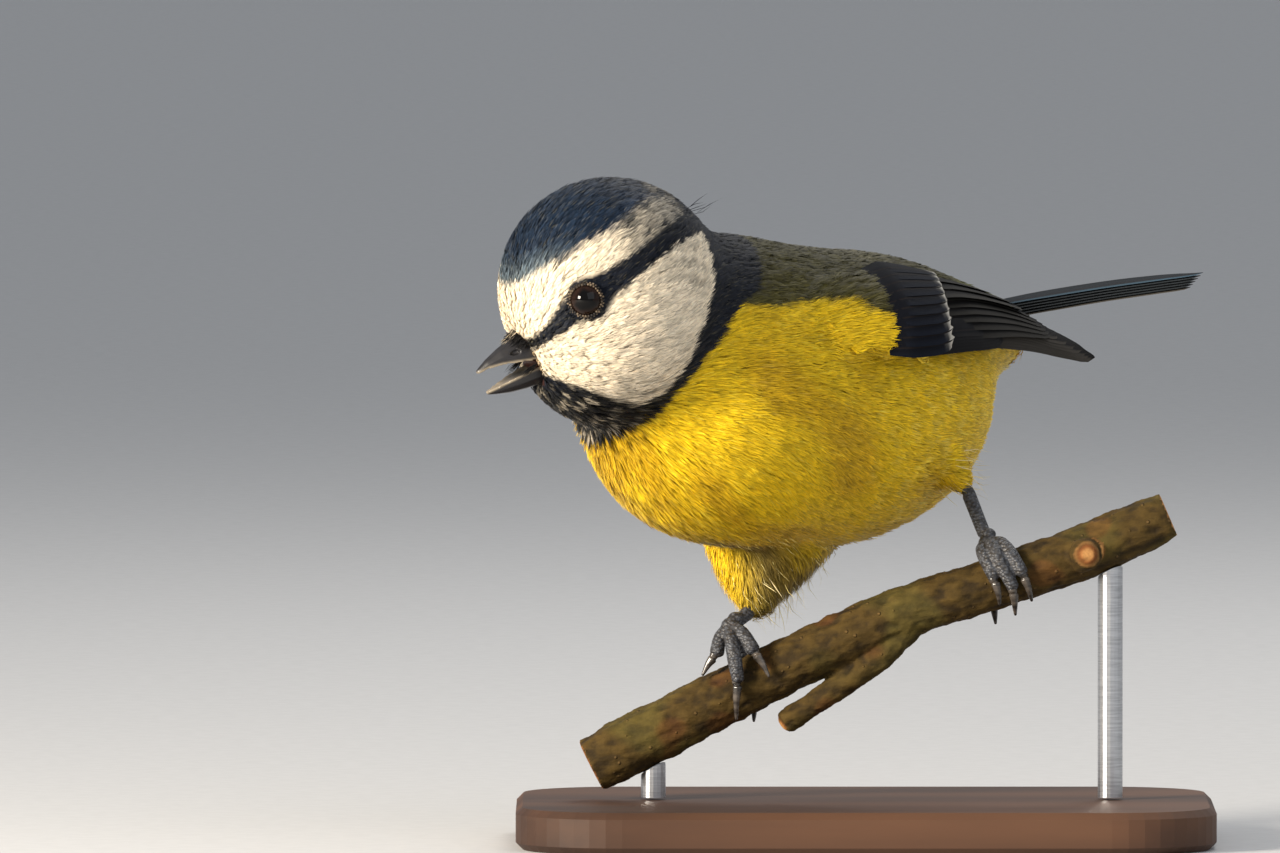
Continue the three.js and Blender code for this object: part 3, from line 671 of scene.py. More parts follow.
def build_skin(nodes):
    plugs = [ball_mesh(from_head(BILL_PLUG_AT), BILL_PLUG)]
    plugs += [ball_mesh(from_head(eye_at(side)), EYE_PLUG) for side in (1, -1)]
    plugs += [shoulder_mesh(side, 0, SHOULDER_END, 1.6, 2.6) for side in (1, -1)]
    sources = [nodes[name].data for name in FLESH] + plugs
    skin = remeshed("skin", sources, voxel=SKIN_VOXEL, passes=10, grow=SKIN_GROW)
    points = coords_of(skin.data) / MM
    normals = coords_of(skin.data, "normal")
    points = points - normals * (coat_depth(points) + SKIN_GROW)[:, None]
    move_points(skin.data, points)
    skin.data.update()
    paint(skin.data, markings(points))
    skin.data.materials.append(skin_material())
    for name in FLESH:
        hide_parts(name)
    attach(skin, "root")
    return skin


# Coat


def lie(points, normals):
    """The way feathers point: away from the bill on the head, back and down on the trunk."""
    from_bill = unit(points - from_head(BILL_ROOT))
    x, _, z = in_trunk(points).T
    droop = 0.12 + 0.5 * smooth(6 - z, 0, 14) * smooth(x, -12, 18)
    back = np.stack([-np.ones(len(points)), np.zeros(len(points)), -droop], axis=1)
    share = smooth(42 - np.linalg.norm(points - from_head(BILL_ROOT), axis=1), 0, 16)
    way = blend_to(unit(back) @ TRUNK.T, from_bill, share)
    thigh = smooth(-15.5 - z, 0, 4) * 0.85
    way = blend_to(way, np.array([0.1, 0.1, -1.0]), thigh)
    way = way - normals * (way * normals).sum(-1, keepdims=True)
    return unit(way)


def scattered(skin, spacing_at, tries):
    """Roots over the skin, no two closer than the spacing where they lie."""
    mesh = skin.data
    mesh.calc_loop_triangles()
    corners = np.zeros(len(mesh.loop_triangles) * 3, np.int32)
    mesh.loop_triangles.foreach_get("vertices", corners)
    points = coords_of(mesh) / MM
    a, b, c = (points[corners.reshape(-1, 3)[:, k]] for k in range(3))
    area = np.linalg.norm(np.cross(b - a, c - a), axis=1)
    chosen = rng.choice(len(area), tries, p=area / area.sum())
    r1, r2 = np.sqrt(rng.random(tries)), rng.random(tries)
    spread = [(1 - r1)[:, None], (r1 * (1 - r2))[:, None], (r1 * r2)[:, None]]
    drawn = a[chosen] * spread[0] + b[chosen] * spread[1] + c[chosen] * spread[2]
    spacing = spacing_at(drawn)
    drawn, spacing = drawn[spacing > 0], spacing[spacing > 0]
    cell = spacing.max()
    filled = {}
    kept = []
    for i, (point, room) in enumerate(zip(drawn, spacing)):
        home = tuple((point // cell).astype(int))
        near = [
            other
            for dx in (-1, 0, 1)
            for dy in (-1, 0, 1)
            for dz in (-1, 0, 1)
            for other in filled.get((home[0] + dx, home[1] + dy, home[2] + dz), ())
        ]
        if near and ((drawn[near] - point) ** 2).sum(1).min() < room * room:
            continue
        filled.setdefault(home, []).append(i)
        kept.append(i)
    return drawn[kept]


def on_skin(tree, points):
    found = [tree.find_nearest(Vector(p * MM)) for p in points]
    places = np.array([f[0] for f in found]) / MM
    return places, np.array([f[1] for f in found])


def shafts(tree, roots, lengths, steps=3):
    """Each feather's line over the skin, along the lie: places, normals and ways."""
    places, normals = on_skin(tree, roots)
    line = [(places, normals, lie(places, normals))]
    for _ in range(steps):
        ahead = line[-1][0] + line[-1][2] * (lengths / steps)[:, None]
        places, normals = on_skin(tree, ahead)
        line.append((places, normals, lie(places, normals)))
    return [np.stack([entry[k] for entry in line], axis=1) for k in range(3)]


def along_line(values, share):
    """Values at shares of the way along each feather's line."""
    last = values.shape[1] - 1
    place = np.clip(share, 0, 1) * last
    low = np.minimum(place.astype(int), last - 1)
    part = (place - low)[..., None]
    rows = np.arange(len(values))[:, None]
    return values[rows, low] * (1 - part) + values[rows, low + 1] * part


def atlas(roots):
    """Where each root lies on an unwrap of the skin: the head left, the trunk right."""
    f, side, u = in_head(roots).T
    x, y, z = in_trunk(roots).T
    rise = np.arctan2(u, np.hypot(f, side)) / math.pi + 0.5
    head = np.stack([np.arctan2(side, f) / math.tau + 0.5, rise], axis=1)
    trunk = np.stack([np.arctan2(y, z) / math.tau + 0.5, (x + 42) / 90], axis=1)
    on_head = (np.linalg.norm(in_head(roots), axis=1) < 16.5)[:, None]
    CHART = [0.46, 0.92]
    return np.where(on_head, head * CHART + [0.02, 0.04], trunk * CHART + [0.52, 0.04])


PATCH = 0.003  # how large each tuft's own patch of the OFBake map is
# A barb or hair: a strip of five points, two at its root, two half-way and one at its tip.
BARB_FACES = np.array([[0, 3, 1], [0, 2, 3], [2, 4, 3]])
# How each barb's five points darken and lighten its colour: painted shade at the root, under the
# barbs above it, and a little lighter at the tip.
BARB_PAINTED_SHADING = np.array([0.6, 0.6, 0.95, 0.95, 1.12])
GLINTING = 0.12  # the share of barbs that catch the light
GLINT = np.array([0.22, 0.19, 0.1])  # what is added to their colour
BARB_SPREAD = (0.55, 0.85, 1.0)  # how far out a barb's three points lie, as shares of its edge


def strip_faces(count):
    return ((np.arange(count) * 5)[:, None, None] + BARB_FACES).reshape(-1, 3)


def barb_rows(tree, roots, size, edge, shares):
    """Where each barb's root, middle and tip lie, with the up and sideways ways there."""
    lengths = size["length"][:, None]
    places, normals, ways = shafts(tree, roots, size["length"])
    sides = unit(np.cross(normals, ways))
    sway = rng.normal(0, 0.09, (len(roots), 1))
    stray = rng.normal(0, 1, edge.shape) * size["puff"][:, None]
    rows = []
    for share, wide in zip(shares, BARB_SPREAD):
        centre = along_line(places, share)
        up = unit(along_line(normals, share))
        across = unit(along_line(sides, share))
        round_tip = np.sin((0.12 + 0.8 * share) * math.pi) ** 0.6
        out = edge * wide * size["half_width"][:, None] * round_tip + sway * share * lengths
        out = out + stray * wide * 0.5
        rise = size["lift"][:, None] * (0.2 + 0.8 * share**0.8) * (1 - 0.3 * edge**2)
        rise = rise + stray * wide * wide
        rows.append((centre + across * out[..., None] + up * rise[..., None], up, across))
    return rows


def barb_colours(roots, middle):
    """Each barb's five colours: the plumage there, uneven, darker at its root as painted shade and
    lighter on a few barbs as a painted glint.
    """
    n, count = middle.shape[:2]
    place = roots[:, None] + (middle - roots[:, None]) * 0.6
    place = place + rng.normal(0, 0.12, place.shape)
    colour = markings(place.reshape(-1, 3)).reshape(n, count, 3)
    contrast = 1 - 0.5 * colour.max(-1, keepdims=True)
    uneven = rng.normal(0, 0.24, (n, count, 1)) + rng.normal(0, 0.1, (n, 1, 1))
    colour = colour * np.clip(1 + uneven * contrast, 0.5, 1.5)
    # A painted glint on a few barbs.
    glint = (rng.random((n, count)) < GLINTING) * rng.uniform(0.1, 0.3, (n, count))
    colour = blend_to(colour, np.minimum(colour * 1.2 + GLINT, 1), glint)
    # Painted shade towards each barb's root, weaker in pale plumage.
    ends = 1 + (BARB_PAINTED_SHADING - 1)[None, None, :, None] * (0.5 + 0.5 * contrast[:, :, None])
    return colour[:, :, None] * ends


def barbs(tree, roots, size):
    """Feathers as fans of thin barbs that follow a shaft over the skin.

    size gives each feather's length, half width, lift and puff, and each barb's width."""
    count = size["barbs"]
    n = len(roots)
    start = rng.uniform(0.0, 0.6, (n, count))
    reach = rng.uniform(0.28, 0.44, (n, count))
    edge = rng.uniform(-1, 1, (n, count))
    shares = [start, start + reach * 0.5, np.minimum(start + reach, 1.0)]
    rows = barb_rows(tree, roots, size, edge, shares)
    root, middle, tip = (row[0] for row in rows)
    up, across = rows[1][1:]
    heading = unit(tip - root)
    tilt = rng.normal(0, 0.35, (n, count, 1))
    flat = unit(np.cross(up, heading) + up * tilt)
    thick = (size["barb_width"][:, None] * rng.uniform(0.7, 1.25, (n, count)))[..., None] / 2
    points = [root - flat * thick * 0.7, root + flat * thick * 0.7]
    points += [middle - flat * thick, middle + flat * thick, tip]
    facing = unit(up + across * edge[..., None] * 0.28 + heading * 0.1)
    home = atlas(roots)[:, None, None]
    local = [np.stack([edge * w, s - 0.5], -1) for w, s in zip(BARB_SPREAD, shares)]
    coords = home + np.stack(local, 2)[:, :, [0, 0, 1, 1, 2]] * PATCH * 0.5
    return {
        "points": np.stack(points, axis=2).reshape(-1, 3),
        "faces": strip_faces(n * count),
        "colours": barb_colours(roots, middle).reshape(-1, 3),
        "maps": {"OFBake": coords.reshape(-1, 2)},
        "normals": np.repeat(facing.reshape(-1, 3), 5, axis=0),
    }


PIECE_TRIANGLES = 180000


def add_coat(name, tree, roots, size, material):
    """The feathers of one region, in pieces that stay under the limit."""
    order = np.argsort(in_trunk(roots)[:, 0])
    total = len(roots) * size["barbs"] * len(BARB_FACES)
    pieces = math.ceil(total / PIECE_TRIANGLES)
    for i, part in enumerate(np.array_split(order, pieces)):
        own = {k: v[part] if isinstance(v, np.ndarray) else v for k, v in size.items()}
        piece = mesh_object(f"{name}_{i + 1}", **barbs(tree, roots[part], own))
        piece.data.materials.append(material)
        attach(piece, "root")


COAT_TRIES, COAT_TRIES_QUICK = 70000, 26000
HEAD_SPACING = (0.36, 0.6)  # at the bill and away from it
BODY_SPACING = 0.78


def under_wing(points):
    s, t, out = wing_place(points)
    return (s > SHOULDER_END - 0.02) & (s < 1) & (t > 0.12) & (t < 0.85) & (out > 5)


def bill_gap(points):
    return np.linalg.norm(points - from_head(BILL_ROOT), axis=1)


def head_spacing(points):
    room = HEAD_SPACING[0] + (HEAD_SPACING[1] - HEAD_SPACING[0]) * smooth(bill_gap(points), 4, 12)
    bare = in_bill(points) | (near_eye(points) < 2.3)
    return np.where((hood(points) < 0.5) | bare, 0, room)


def body_spacing(points):
    return np.where((hood(points) >= 0.5) | under_wing(points), 0, BODY_SPACING)


def head_feathers(roots):
    """Short at the bill and round the eye, longer to the nape, ruffled on the chin."""
    f, _, u = in_head(roots).T
    gap = smooth(bill_gap(roots), 3, 14)
    ringed = smooth(near_eye(roots), 2.2, 5)
    chin = smooth(-u, 8, 12) * smooth(f, 0, 4)
    length = (0.9 + 1.9 * gap) * (0.5 + 0.5 * ringed) * (1 + 0.25 * chin)
    return {
        "barbs": 42,
        "length": length,
        "half_width": length * 0.24 * (1 - 0.4 * chin),
        "lift": (0.2 + 0.35 * gap) * ringed + 0.12 + 0.9 * chin,
        "puff": 0.03 + 0.03 * gap + 0.08 * chin,
        "barb_width": 0.085 + 0.02 * gap,
    }


def body_feathers(roots):
    """Soft and long on the belly and thighs, short and flat on the back and shoulders."""
    z = in_trunk(roots)[:, 2]
    leg = smooth(-14 - z, 0, 5)
    back = smooth(z, 8, 14)
    s, t, out = wing_place(roots)
    shoulder = smooth(s, 0.1, 0.2) * smooth(out, 9, 11) * smooth(1.1 - t, 0, 0.2)
    length = (4.4 - 1.0 * back) * (1 + 0.1 * leg) * (1 - 0.4 * shoulder)
    return {
        "barbs": 54,
        "length": length,
        "half_width": length * 0.26,
        "lift": 0.95 - 0.3 * back,
        "puff": (0.12 - 0.07 * back + 0.2 * leg) * (1 - 0.5 * shoulder),
        "barb_width": 0.13 - 0.03 * leg,
    }


def build_coat(skin, material):
    tree = BVHTree.FromObject(skin, bpy.context.evaluated_depsgraph_get())
    tries = COAT_TRIES
    for name, spacing, dressed in (
        ("coat_head", head_spacing, head_feathers),
        ("coat_body", body_spacing, body_feathers),
    ):
        roots = scattered(skin, spacing, tries)
        add_coat(name, tree, roots, dressed(roots), material)


# Flight feathers: the folded wing lies on a curved sheet between three lines

WING_UPPER = [
    (9, 9.6, 14.2), (0, 11.4, 15.6), (-12, 10.6, 14.4),
    (-24, 9.2, 11.8), (-36, 7.6, 8.6), (-48, 6.2, 5.2),
]
WING_MIDDLE = [
    (9, 13.4, 10.6), (0, 16.8, 11.6), (-12, 16.0, 11.6),
    (-24, 12.8, 10.2), (-36, 9.4, 7.4), (-48, 6.6, 4.4),
]
WING_LOWER = [
    (9, 15.8, 5.8), (0, 18.8, 6.6), (-12, 18.4, 7.2),
    (-24, 15.0, 6.6), (-36, 10.6, 5.4), (-48, 6.9, 3.6),
]
RIGHT_WING_LIFT = 4.5


def spline(points, share):
    """A smooth curve through points, at shares of its length in spans."""
    points = np.asarray(points, float)
    ends = np.vstack([2 * points[0] - points[1], points, 2 * points[-1] - points[-2]])
    place = np.clip(share, 0, 1) * (len(points) - 1)
    low = np.minimum(place.astype(int), len(points) - 2)
    t = (place - low)[..., None]
    p0, p1, p2, p3 = (ends[low + k] for k in range(4))
    return 0.5 * (
        2 * p1
        + (p2 - p0) * t
        + (2 * p0 - 5 * p1 + 4 * p2 - p3) * t**2
        + (3 * p1 - p0 - 3 * p2 + p3) * t**3
    )


def sheet_point(side, s, t):
    """The folded wing's sheet in the trunk's frame: s to its tip, t from its upper edge."""
    upper, middle, lower = (spline(line, s) for line in (WING_UPPER, WING_MIDDLE, WING_LOWER))
    t = t[..., None]
    point = upper * (1 - t) * (1 - 2 * t) + middle * 4 * t * (1 - t) + lower * t * (2 * t - 1)
    if side < 0:
        point[..., 2] += RIGHT_WING_LIFT * s * s
    return point * [1, side, 1]


def sheet_out(side, s, t):
    """The way out of the sheet, away from the body."""
    STEP = 0.02
    low = np.minimum(s, 1 - STEP)
    along = sheet_point(side, low + STEP, t) - sheet_point(side, low, t)
    down = sheet_point(side, low, t + STEP) - sheet_point(side, low, t - STEP)
    return unit(np.cross(along, down) * -side)


ALONG, ACROSS = 16, 10
OUTLINE = [(0, 0.6), (0.3, 0.95), (0.7, 1.0), (0.88, 0.82), (0.96, 0.55), (1.0, 0.18)]
SHAFT = 0.34  # where the shaft lies across a vane, from its outer edge


def vane_grid(centres, outs, side, half_width, tilt, camber=0.14):
    """One feather's points in rows along its centre line, its outer edge first and lifted."""
    tangent = unit(np.gradient(centres, axis=0))
    across = unit(np.cross(outs, tangent)) * side
    out = unit(outs - tangent * (outs * tangent).sum(-1, keepdims=True))
    inward = across * math.cos(tilt) - out * math.sin(tilt)
    rise = out * math.cos(tilt) + across * math.sin(tilt)
    share = np.linspace(0, 1, len(centres))
    half = half_width * np.interp(share, *np.array(OUTLINE).T)
    v = np.linspace(0, 1, ACROSS)
    offset = (v - 0.5) * 2
    bulge = camber * half_width * (1 - ((v - SHAFT) / (1 - SHAFT)) ** 2)
    notch = 0.25 * half_width * offset**2 * smooth(share, 0.9, 1.0)[:, None]
    points = centres[:, None] + inward[:, None] * (half[:, None] * offset)[..., None]
    points = points + rise[:, None] * np.broadcast_to(bulge, (len(centres), ACROSS))[..., None]
    return points - tangent[:, None] * notch[..., None]


def vane_faces(rows, columns, first):
    at = np.arange(rows * columns).reshape(rows, columns) + first
    corners = [at[:-1, :-1], at[1:, :-1], at[1:, 1:], at[:-1, 1:]]
    return np.stack([c.ravel() for c in corners], axis=1)


def vane_colours(style):
    """Across and along one vane: a dark web, a pale outer edge, painted shade over the inner half
    and perhaps a pale tip.
    """
    share = np.linspace(0, 1, ALONG)[:, None]
    v = np.linspace(0, 1, ACROSS)[None]
    colour = np.tile(style["web"], (ALONG, ACROSS, 1))
    colour = blend_to(colour, style["edge"], smooth(0.22 - v, 0, 0.14) * (0.5 + 0.5 * share))
    # Darker over the inner half: painted shade.
    colour = blend_to(colour, style["web"] * 0.55, smooth(v + 0 * share, 0.5, 0.95) * 0.7)
    if "tip" in style:
        start = style["tip_from"] + 0.05 * np.abs(v - 0.4)
        colour = blend_to(colour, style["tip"], smooth(share, start, start + 0.08))
    return colour


MARGIN = 0.08  # round each vane's patch of the OFBake map, as a share of its cell


class Feathers:
    """Gathers vanes into one mesh, each with its own patch of the OFBake map."""

    def __init__(self, columns):
        self.points, self.colours, self.vane, self.bake, self.faces = [], [], [], [], []
        self.columns = columns

    def add(self, grid, colours, side):
        index = len(self.points)
        first = index * ALONG * ACROSS
        self.points.append(grid.reshape(-1, 3))
        self.colours.append(colours.reshape(-1, 3))
        v, u = np.meshgrid(np.linspace(0, 1, ALONG), np.linspace(0, 1, ACROSS), indexing="ij")
        local = np.stack([u.ravel(), v.ravel()], axis=1)
        self.vane.append(local)
        cell = np.array([index % self.columns, index // self.columns])
        self.bake.append((cell + MARGIN + local * (1 - 2 * MARGIN)) / self.columns)
        self.faces.append(vane_faces(ALONG, ACROSS, first)[:, ::side])

    def build(self, name, material):
        maps = {"OFBake": np.vstack(self.bake), "Vane": np.vstack(self.vane)}
        made = mesh_object(
            name, np.vstack(self.points), np.vstack(self.faces), np.vstack(self.colours), maps
        )
        made.data.materials.append(material)
        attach(made, "root")
        return made


WING_DARK = srgb(14, 13, 13)
BAR = srgb(196, 190, 178)
PRIMARY = {"web": WING_DARK, "edge": srgb(66, 61, 54)}
SECONDARY = {"web": WING_DARK, "edge": srgb(56, 53, 48)}
TERTIAL = {"web": WING_DARK, "edge": srgb(66, 63, 58), "tip": srgb(104, 98, 88), "tip_from": 0.95}
GREATER = {"web": srgb(14, 16, 23), "edge": srgb(20, 25, 36), "tip": BAR, "tip_from": 0.84}
ALULA = {"web": srgb(13, 14, 18), "edge": srgb(34, 33, 33)}

# Each tier: count, first root and tip, last root and tip, half width, lift, tilt and style.
WING_TIERS = [
    (9, (0.36, 0.95), (0.99, 0.9), (0.46, 0.68), (0.8, 0.42), 1.8, 0.1, 6, PRIMARY),
    (6, (0.3, 0.84), (0.8, 0.6), (0.3, 0.36), (0.74, 0.28), 2.0, 0.35, 6, SECONDARY),
    (3, (0.28, 0.32), (0.7, 0.26), (0.3, 0.08), (0.6, 0.1), 2.6, 0.6, 5, TERTIAL),
    (6, (0.2, 1.0), (0.52, 1.0), (0.27, 0.84), (0.48, 0.85), 1.3, 0.45, 7, ALULA),
    (10, (0.14, 0.94), (0.318, 0.94), (0.2, 0.04), (0.415, 0.04), 1.9, 1.1, 2, GREATER),
]


def build_wing(side, node, material, down):
    feathers = Feathers(columns=6)
    u = np.linspace(0, 1, ALONG)
    for count, root_a, tip_a, root_b, tip_b, width, lift, tilt, style in WING_TIERS:
        for i in range(count):
            k = i / (count - 1)
            root = np.array(root_a) * (1 - k) + np.array(root_b) * k
            bend = np.array([k * k, k])
            tip = np.array(tip_a) * (1 - bend) + np.array(tip_b) * bend
            s = root[0] + (tip[0] - root[0]) * u
            t = root[1] + (tip[1] - root[1]) * u * u
            out = sheet_out(side, s, t)
            sink = 0.8 * smooth(0.3 - u, 0, 0.3)
            local = sheet_point(side, s, t) + out * (lift - sink)[:, None]
            grid = vane_grid(from_trunk(local), out @ TRUNK.T, side, width, math.radians(tilt))
            feathers.add(grid, vane_colours(style) * rng.uniform(0.9, 1.1), side)
    wing = feathers.build(node + "_feathers", material)
    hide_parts(node)
    arm = shoulder_mesh(side, SHOULDER_END - 0.1, 0.62, 0.1, 1.4)
    under = object_of(node + "_arm", arm)
    under.data.materials.append(down)
    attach(under, "root")


TAIL_PAIRS = 6
TAIL_LENGTH = 41.1
TAIL_RISE = 3.0
TAIL_DROP = 0.3  # how far each pair lies below the one inside it
TAIL_STEP = 1.3  # how much shorter each pair is than the one inside it
TAIL_HALF_WIDTH, TAIL_TILT, TAIL_CAMBER = 2.2, math.radians(-5), 0.06
TAIL_STYLE = {"web": srgb(24, 23, 22), "edge": srgb(46, 52, 54)}
TAIL_TOP = {"web": srgb(24, 30, 36), "edge": srgb(70, 96, 112)}
TAIL_OUTER = {"web": srgb(26, 23, 20), "edge": srgb(84, 76, 62)}


def build_tail(material):
    feathers = Feathers(columns=4)
    u = np.linspace(0, 1, ALONG)
    for pair in range(TAIL_PAIRS):
        for side in (1, -1):
            length = TAIL_LENGTH - pair * TAIL_STEP
            x = TAIL_ROOT[0] + 3.5 - length * u
            y = side * ((0.5 + pair * 0.4) * (1 - u) + (0.9 + pair * 0.72) * u)
            drop = pair * TAIL_DROP + (0 if side > 0 else 0.15)
            z = TAIL_ROOT[2] + 1.3 - drop + TAIL_RISE * u + 1.6 * u * (1 - u)
            centres = from_trunk(np.stack([x, y, z], axis=1))
            outs = np.tile(np.array([0.0, 0.0, 1.0]), (ALONG, 1))
            grid = vane_grid(centres, outs, side, TAIL_HALF_WIDTH, TAIL_TILT, TAIL_CAMBER)
            style = {0: TAIL_TOP, TAIL_PAIRS - 1: TAIL_OUTER}.get(pair, TAIL_STYLE)
            feathers.add(grid, vane_colours(style) * rng.uniform(0.9, 1.1), side)
    tail = feathers.build("tail_feathers", material)
    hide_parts("tail")


# Eyes

IRIS = srgb(34, 20, 13)
PUPIL = srgb(5, 4, 4)
EYE_RIM = srgb(24, 16, 12)
BULGE = 0.06  # how far the front of the eye stands out, as a share of its radius
LID_BEADS = 34
# Each ring of beads: its radius, the beads' radius and how far out it lies.
LID_RINGS = [(1.9, 0.15, 1.22), (2.12, 0.13, 1.02)]


def build_eye(side, node, wet, lid):
    """The eyeball, with its pupil and iris about the way that it looks, and its lids."""
    mesh = ball_mesh((0, 0, 0), (EYE_RADIUS,) * 3)
    mesh.shade_smooth()
    points = coords_of(mesh) / MM
    angle = np.arccos(np.clip(unit(points) @ side_axis(side), -1, 1))
    bulged = points * (1 + BULGE * smooth(0.9 - angle, 0, 0.9))[:, None]
    move_points(mesh, from_head(eye_at(side) + bulged))
    eye = object_of("eyeball_" + node, mesh)
    colour = blend_to(np.tile(IRIS, (len(points), 1)), PUPIL, smooth(0.7 - angle, 0, 0.06))
    paint(mesh, blend_to(colour, EYE_RIM, smooth(angle, 0.85, 0.98)))
    mesh.materials.append(wet)
    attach(eye, "root")
    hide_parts(node)
    build_lids(side, node, lid)


def build_lids(side, node, lid):
    """A dark rim round the eye with a ring of small pale beads outside it."""
    axis = side_axis(side)
    first = unit(np.cross(axis, [0, 0, 1.0]))
    second = np.cross(axis, first)
    gathered = bmesh.new()
    for ring, (radius, size, rise) in enumerate(LID_RINGS):
        for i in range(LID_BEADS):
            angle = (i + 0.5 * ring) / LID_BEADS * math.tau
            wobble = 1 + 0.012 * math.sin(5 * angle + ring)
            round_eye = (first * math.cos(angle) + second * math.sin(angle)) * radius * wobble
            bead = from_head(eye_at(side) + axis * rise + round_eye)
            scale = size * (0.85 + 0.3 * rng.random())
            matrix = Matrix.Translation(Vector(bead * MM)) @ Matrix.Scale(scale * MM, 4)
            bmesh.ops.create_icosphere(gathered, subdivisions=2, radius=1, matrix=matrix)
    mesh = mesh_of("lids_" + node, gathered)
    mesh.shade_smooth()
    mesh.materials.append(lid)
    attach(object_of("lids_" + node, mesh), "root")


# Bill


def smoothed(name, nodes, replaced, voxel, passes, grow, material, plugs=()):
    """CAD nodes as one smooth piece that stands for them."""
    sources = [nodes[node].data for node in replaced] + list(plugs)
    made = remeshed(name, sources, voxel, passes, grow)
    made.data.materials.append(material)
    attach(made, "root")
    for node in replaced:
        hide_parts(node)
    return made


def closest(first, second):
    """The nearest pair of corners of two meshes."""
    a, b = coords_of(first) / MM, coords_of(second) / MM
    gaps = np.linalg.norm(a[:, None] - b[None], axis=-1)
    i, j = np.unravel_index(gaps.argmin(), gaps.shape)
    return a[i], b[j]


# The height of each mandible's cutting edge, as (forward, up) in the head's frame.
UPPER_TOMIUM = [(11.2, -3.2), (13.6, -2.75), (15.6, -2.4), (17.4, -2.3), (18.9, -2.55)]
LOWER_TOMIUM = [(11.2, -3.75), (13.6, -4.05), (15.6, -4.3), (17.2, -4.6), (18.5, -4.85)]
HORN = srgb(34, 33, 35)
HORN_EDGE_HIGHLIGHT = srgb(150, 138, 118)
MOUTH_AT, MOUTH_SIZE = (11.6, 0, -3.5), (1.5, 1.5, 1.0)


def build_bill(nodes):
    """Both mandibles, with a painted highlight along their cutting edges, and the lining between
    them.
    """
    horn = bill_material()
    for name, tomium in (("upper", UPPER_TOMIUM), ("lower", LOWER_TOMIUM)):
        made = smoothed("mandible_" + name, nodes, ("bill_" + name,), 0.14, 3, 0.0, horn)
        f, _, u = in_head(coords_of(made.data) / MM).T
        gap = np.abs(u - np.interp(f, *np.array(tomium).T))
        # A painted highlight along each cutting edge, with the gape's colour mixed in towards the
        # bill's base.
        pale = smooth(0.5 - gap, 0, 0.35) * 0.8
        base = smooth(13.4 - f, 0, 2) * 0.5
        colour = blend_to(np.tile(HORN, (len(f), 1)), HORN_EDGE_HIGHLIGHT, pale)
        paint(made.data, blend_to(colour, GAPE, base * pale))
    lining = object_of("mouth", ball_mesh(from_head(MOUTH_AT), MOUTH_SIZE))
    paint(lining.data, np.tile(GAPE * 1.4, (len(lining.data.vertices), 1)))
    lining.data.materials.append(horn)
    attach(lining, "root")


# Hairs: the bill's bristles, a few on the nape and the wisps at the trousers


def hairs(name, starts, ways, lengths, width, colours, material):
    """Single stiff hairs: a tapering strip each, bent a little towards its tip."""
    n = len(starts)
    ways = unit(ways)
    flat = unit(np.cross(ways, unit(rng.normal(size=(n, 3))))) * width / 2
    bend = unit(np.cross(ways, flat)) * lengths[:, None] * rng.normal(0, 0.12, (n, 1))
    middle = starts + ways * lengths[:, None] * 0.5 + bend
    tips = starts + ways * lengths[:, None]
    points = np.stack([starts - flat, starts + flat, middle - flat, middle + flat, tips], axis=1)
    faces = strip_faces(n)
    home = np.repeat(atlas(starts), 5, axis=0)
    corner = np.array([[0, 0], [1, 0], [0, 1], [1, 1], [0.5, 2]]) * PATCH / 2
    maps = {"OFBake": home + np.tile(corner, (n, 1))}
    made = mesh_object(name, points.reshape(-1, 3), faces, np.repeat(colours, 5, axis=0), maps)
    made.data.materials.append(material)
    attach(made, "root")


BRISTLES = 150  # on each side of the bill
BRISTLE_WIDTH = 0.09
NAPE_HAIRS = 6
NAPE_HAIRS_AT = np.array([-12.2, -19.5, 23.6])
FINE_HAIR_WIDTH = 0.07


def build_bristles(material):
    """Bristles over the nostrils and at the gape."""
    side = np.repeat([1.0, -1.0], BRISTLES)
    n = len(side)
    across = rng.uniform(0.3, 2.7, n)
    low = rng.random(n)
    rise = np.where(low < 0.75, 1.1 - 0.45 * across - rng.uniform(0, 0.5, n), -3.4)
    starts = np.stack([12.9 - 0.35 * across, side * across, rise], axis=1)
    starts[low >= 0.75, 1] = side[low >= 0.75] * rng.uniform(2.3, 2.7, (low >= 0.75).sum())
    ways = np.stack([np.ones(n), side * rng.normal(0.05, 0.12, n), rng.normal(-0.42, 0.14, n)], 1)
    length = rng.uniform(1.3, 2.6, n)
    tone = rng.uniform(0.6, 1.6, (n, 1))
    colours = np.where((rise > 0.6)[:, None] & (low < 0.4)[:, None], WHITE * 0.8, BIB * tone)
    hairs("bristles", from_head(starts), ways @ HEAD.T, length, BRISTLE_WIDTH, colours, material)


def build_nape_hairs(material):
    """A few long hairs that stand out behind the head."""
    roots = BIRD_AT + NAPE_HAIRS_AT + rng.normal(0, 0.5, (NAPE_HAIRS, 3))
    lean = np.array([0.9, -0.1, 0.42]) + rng.normal(0, 0.12, (NAPE_HAIRS, 3))
    length = rng.uniform(2.2, 3.6, NAPE_HAIRS)
    colours = np.tile(NAVY, (NAPE_HAIRS, 1))
    hairs("nape_hairs", roots, lean, length, FINE_HAIR_WIDTH, colours, material)


WISP_SPACING = 0.55
WISP_TRIES = 9000
TROUSER_BELOW = -15.5
# The tuft where the far leg leaves the feathers: its middle, from BIRD_AT, and its reach.
FAR_TUFT, FAR_TUFT_REACH = np.array([20.4, 0.6, -9.4]), 3.4


def in_far_tuft(points):
    return np.linalg.norm(points - BIRD_AT - FAR_TUFT, axis=1) < FAR_TUFT_REACH


def wisp_spacing(points):
    thigh = (in_trunk(points)[:, 2] < TROUSER_BELOW) & (points[:, 0] < BIRD_AT[0] + 4)
    spacing = np.where(thigh, WISP_SPACING, 0)
    return np.where(in_far_tuft(points), WISP_SPACING * 0.6, spacing)


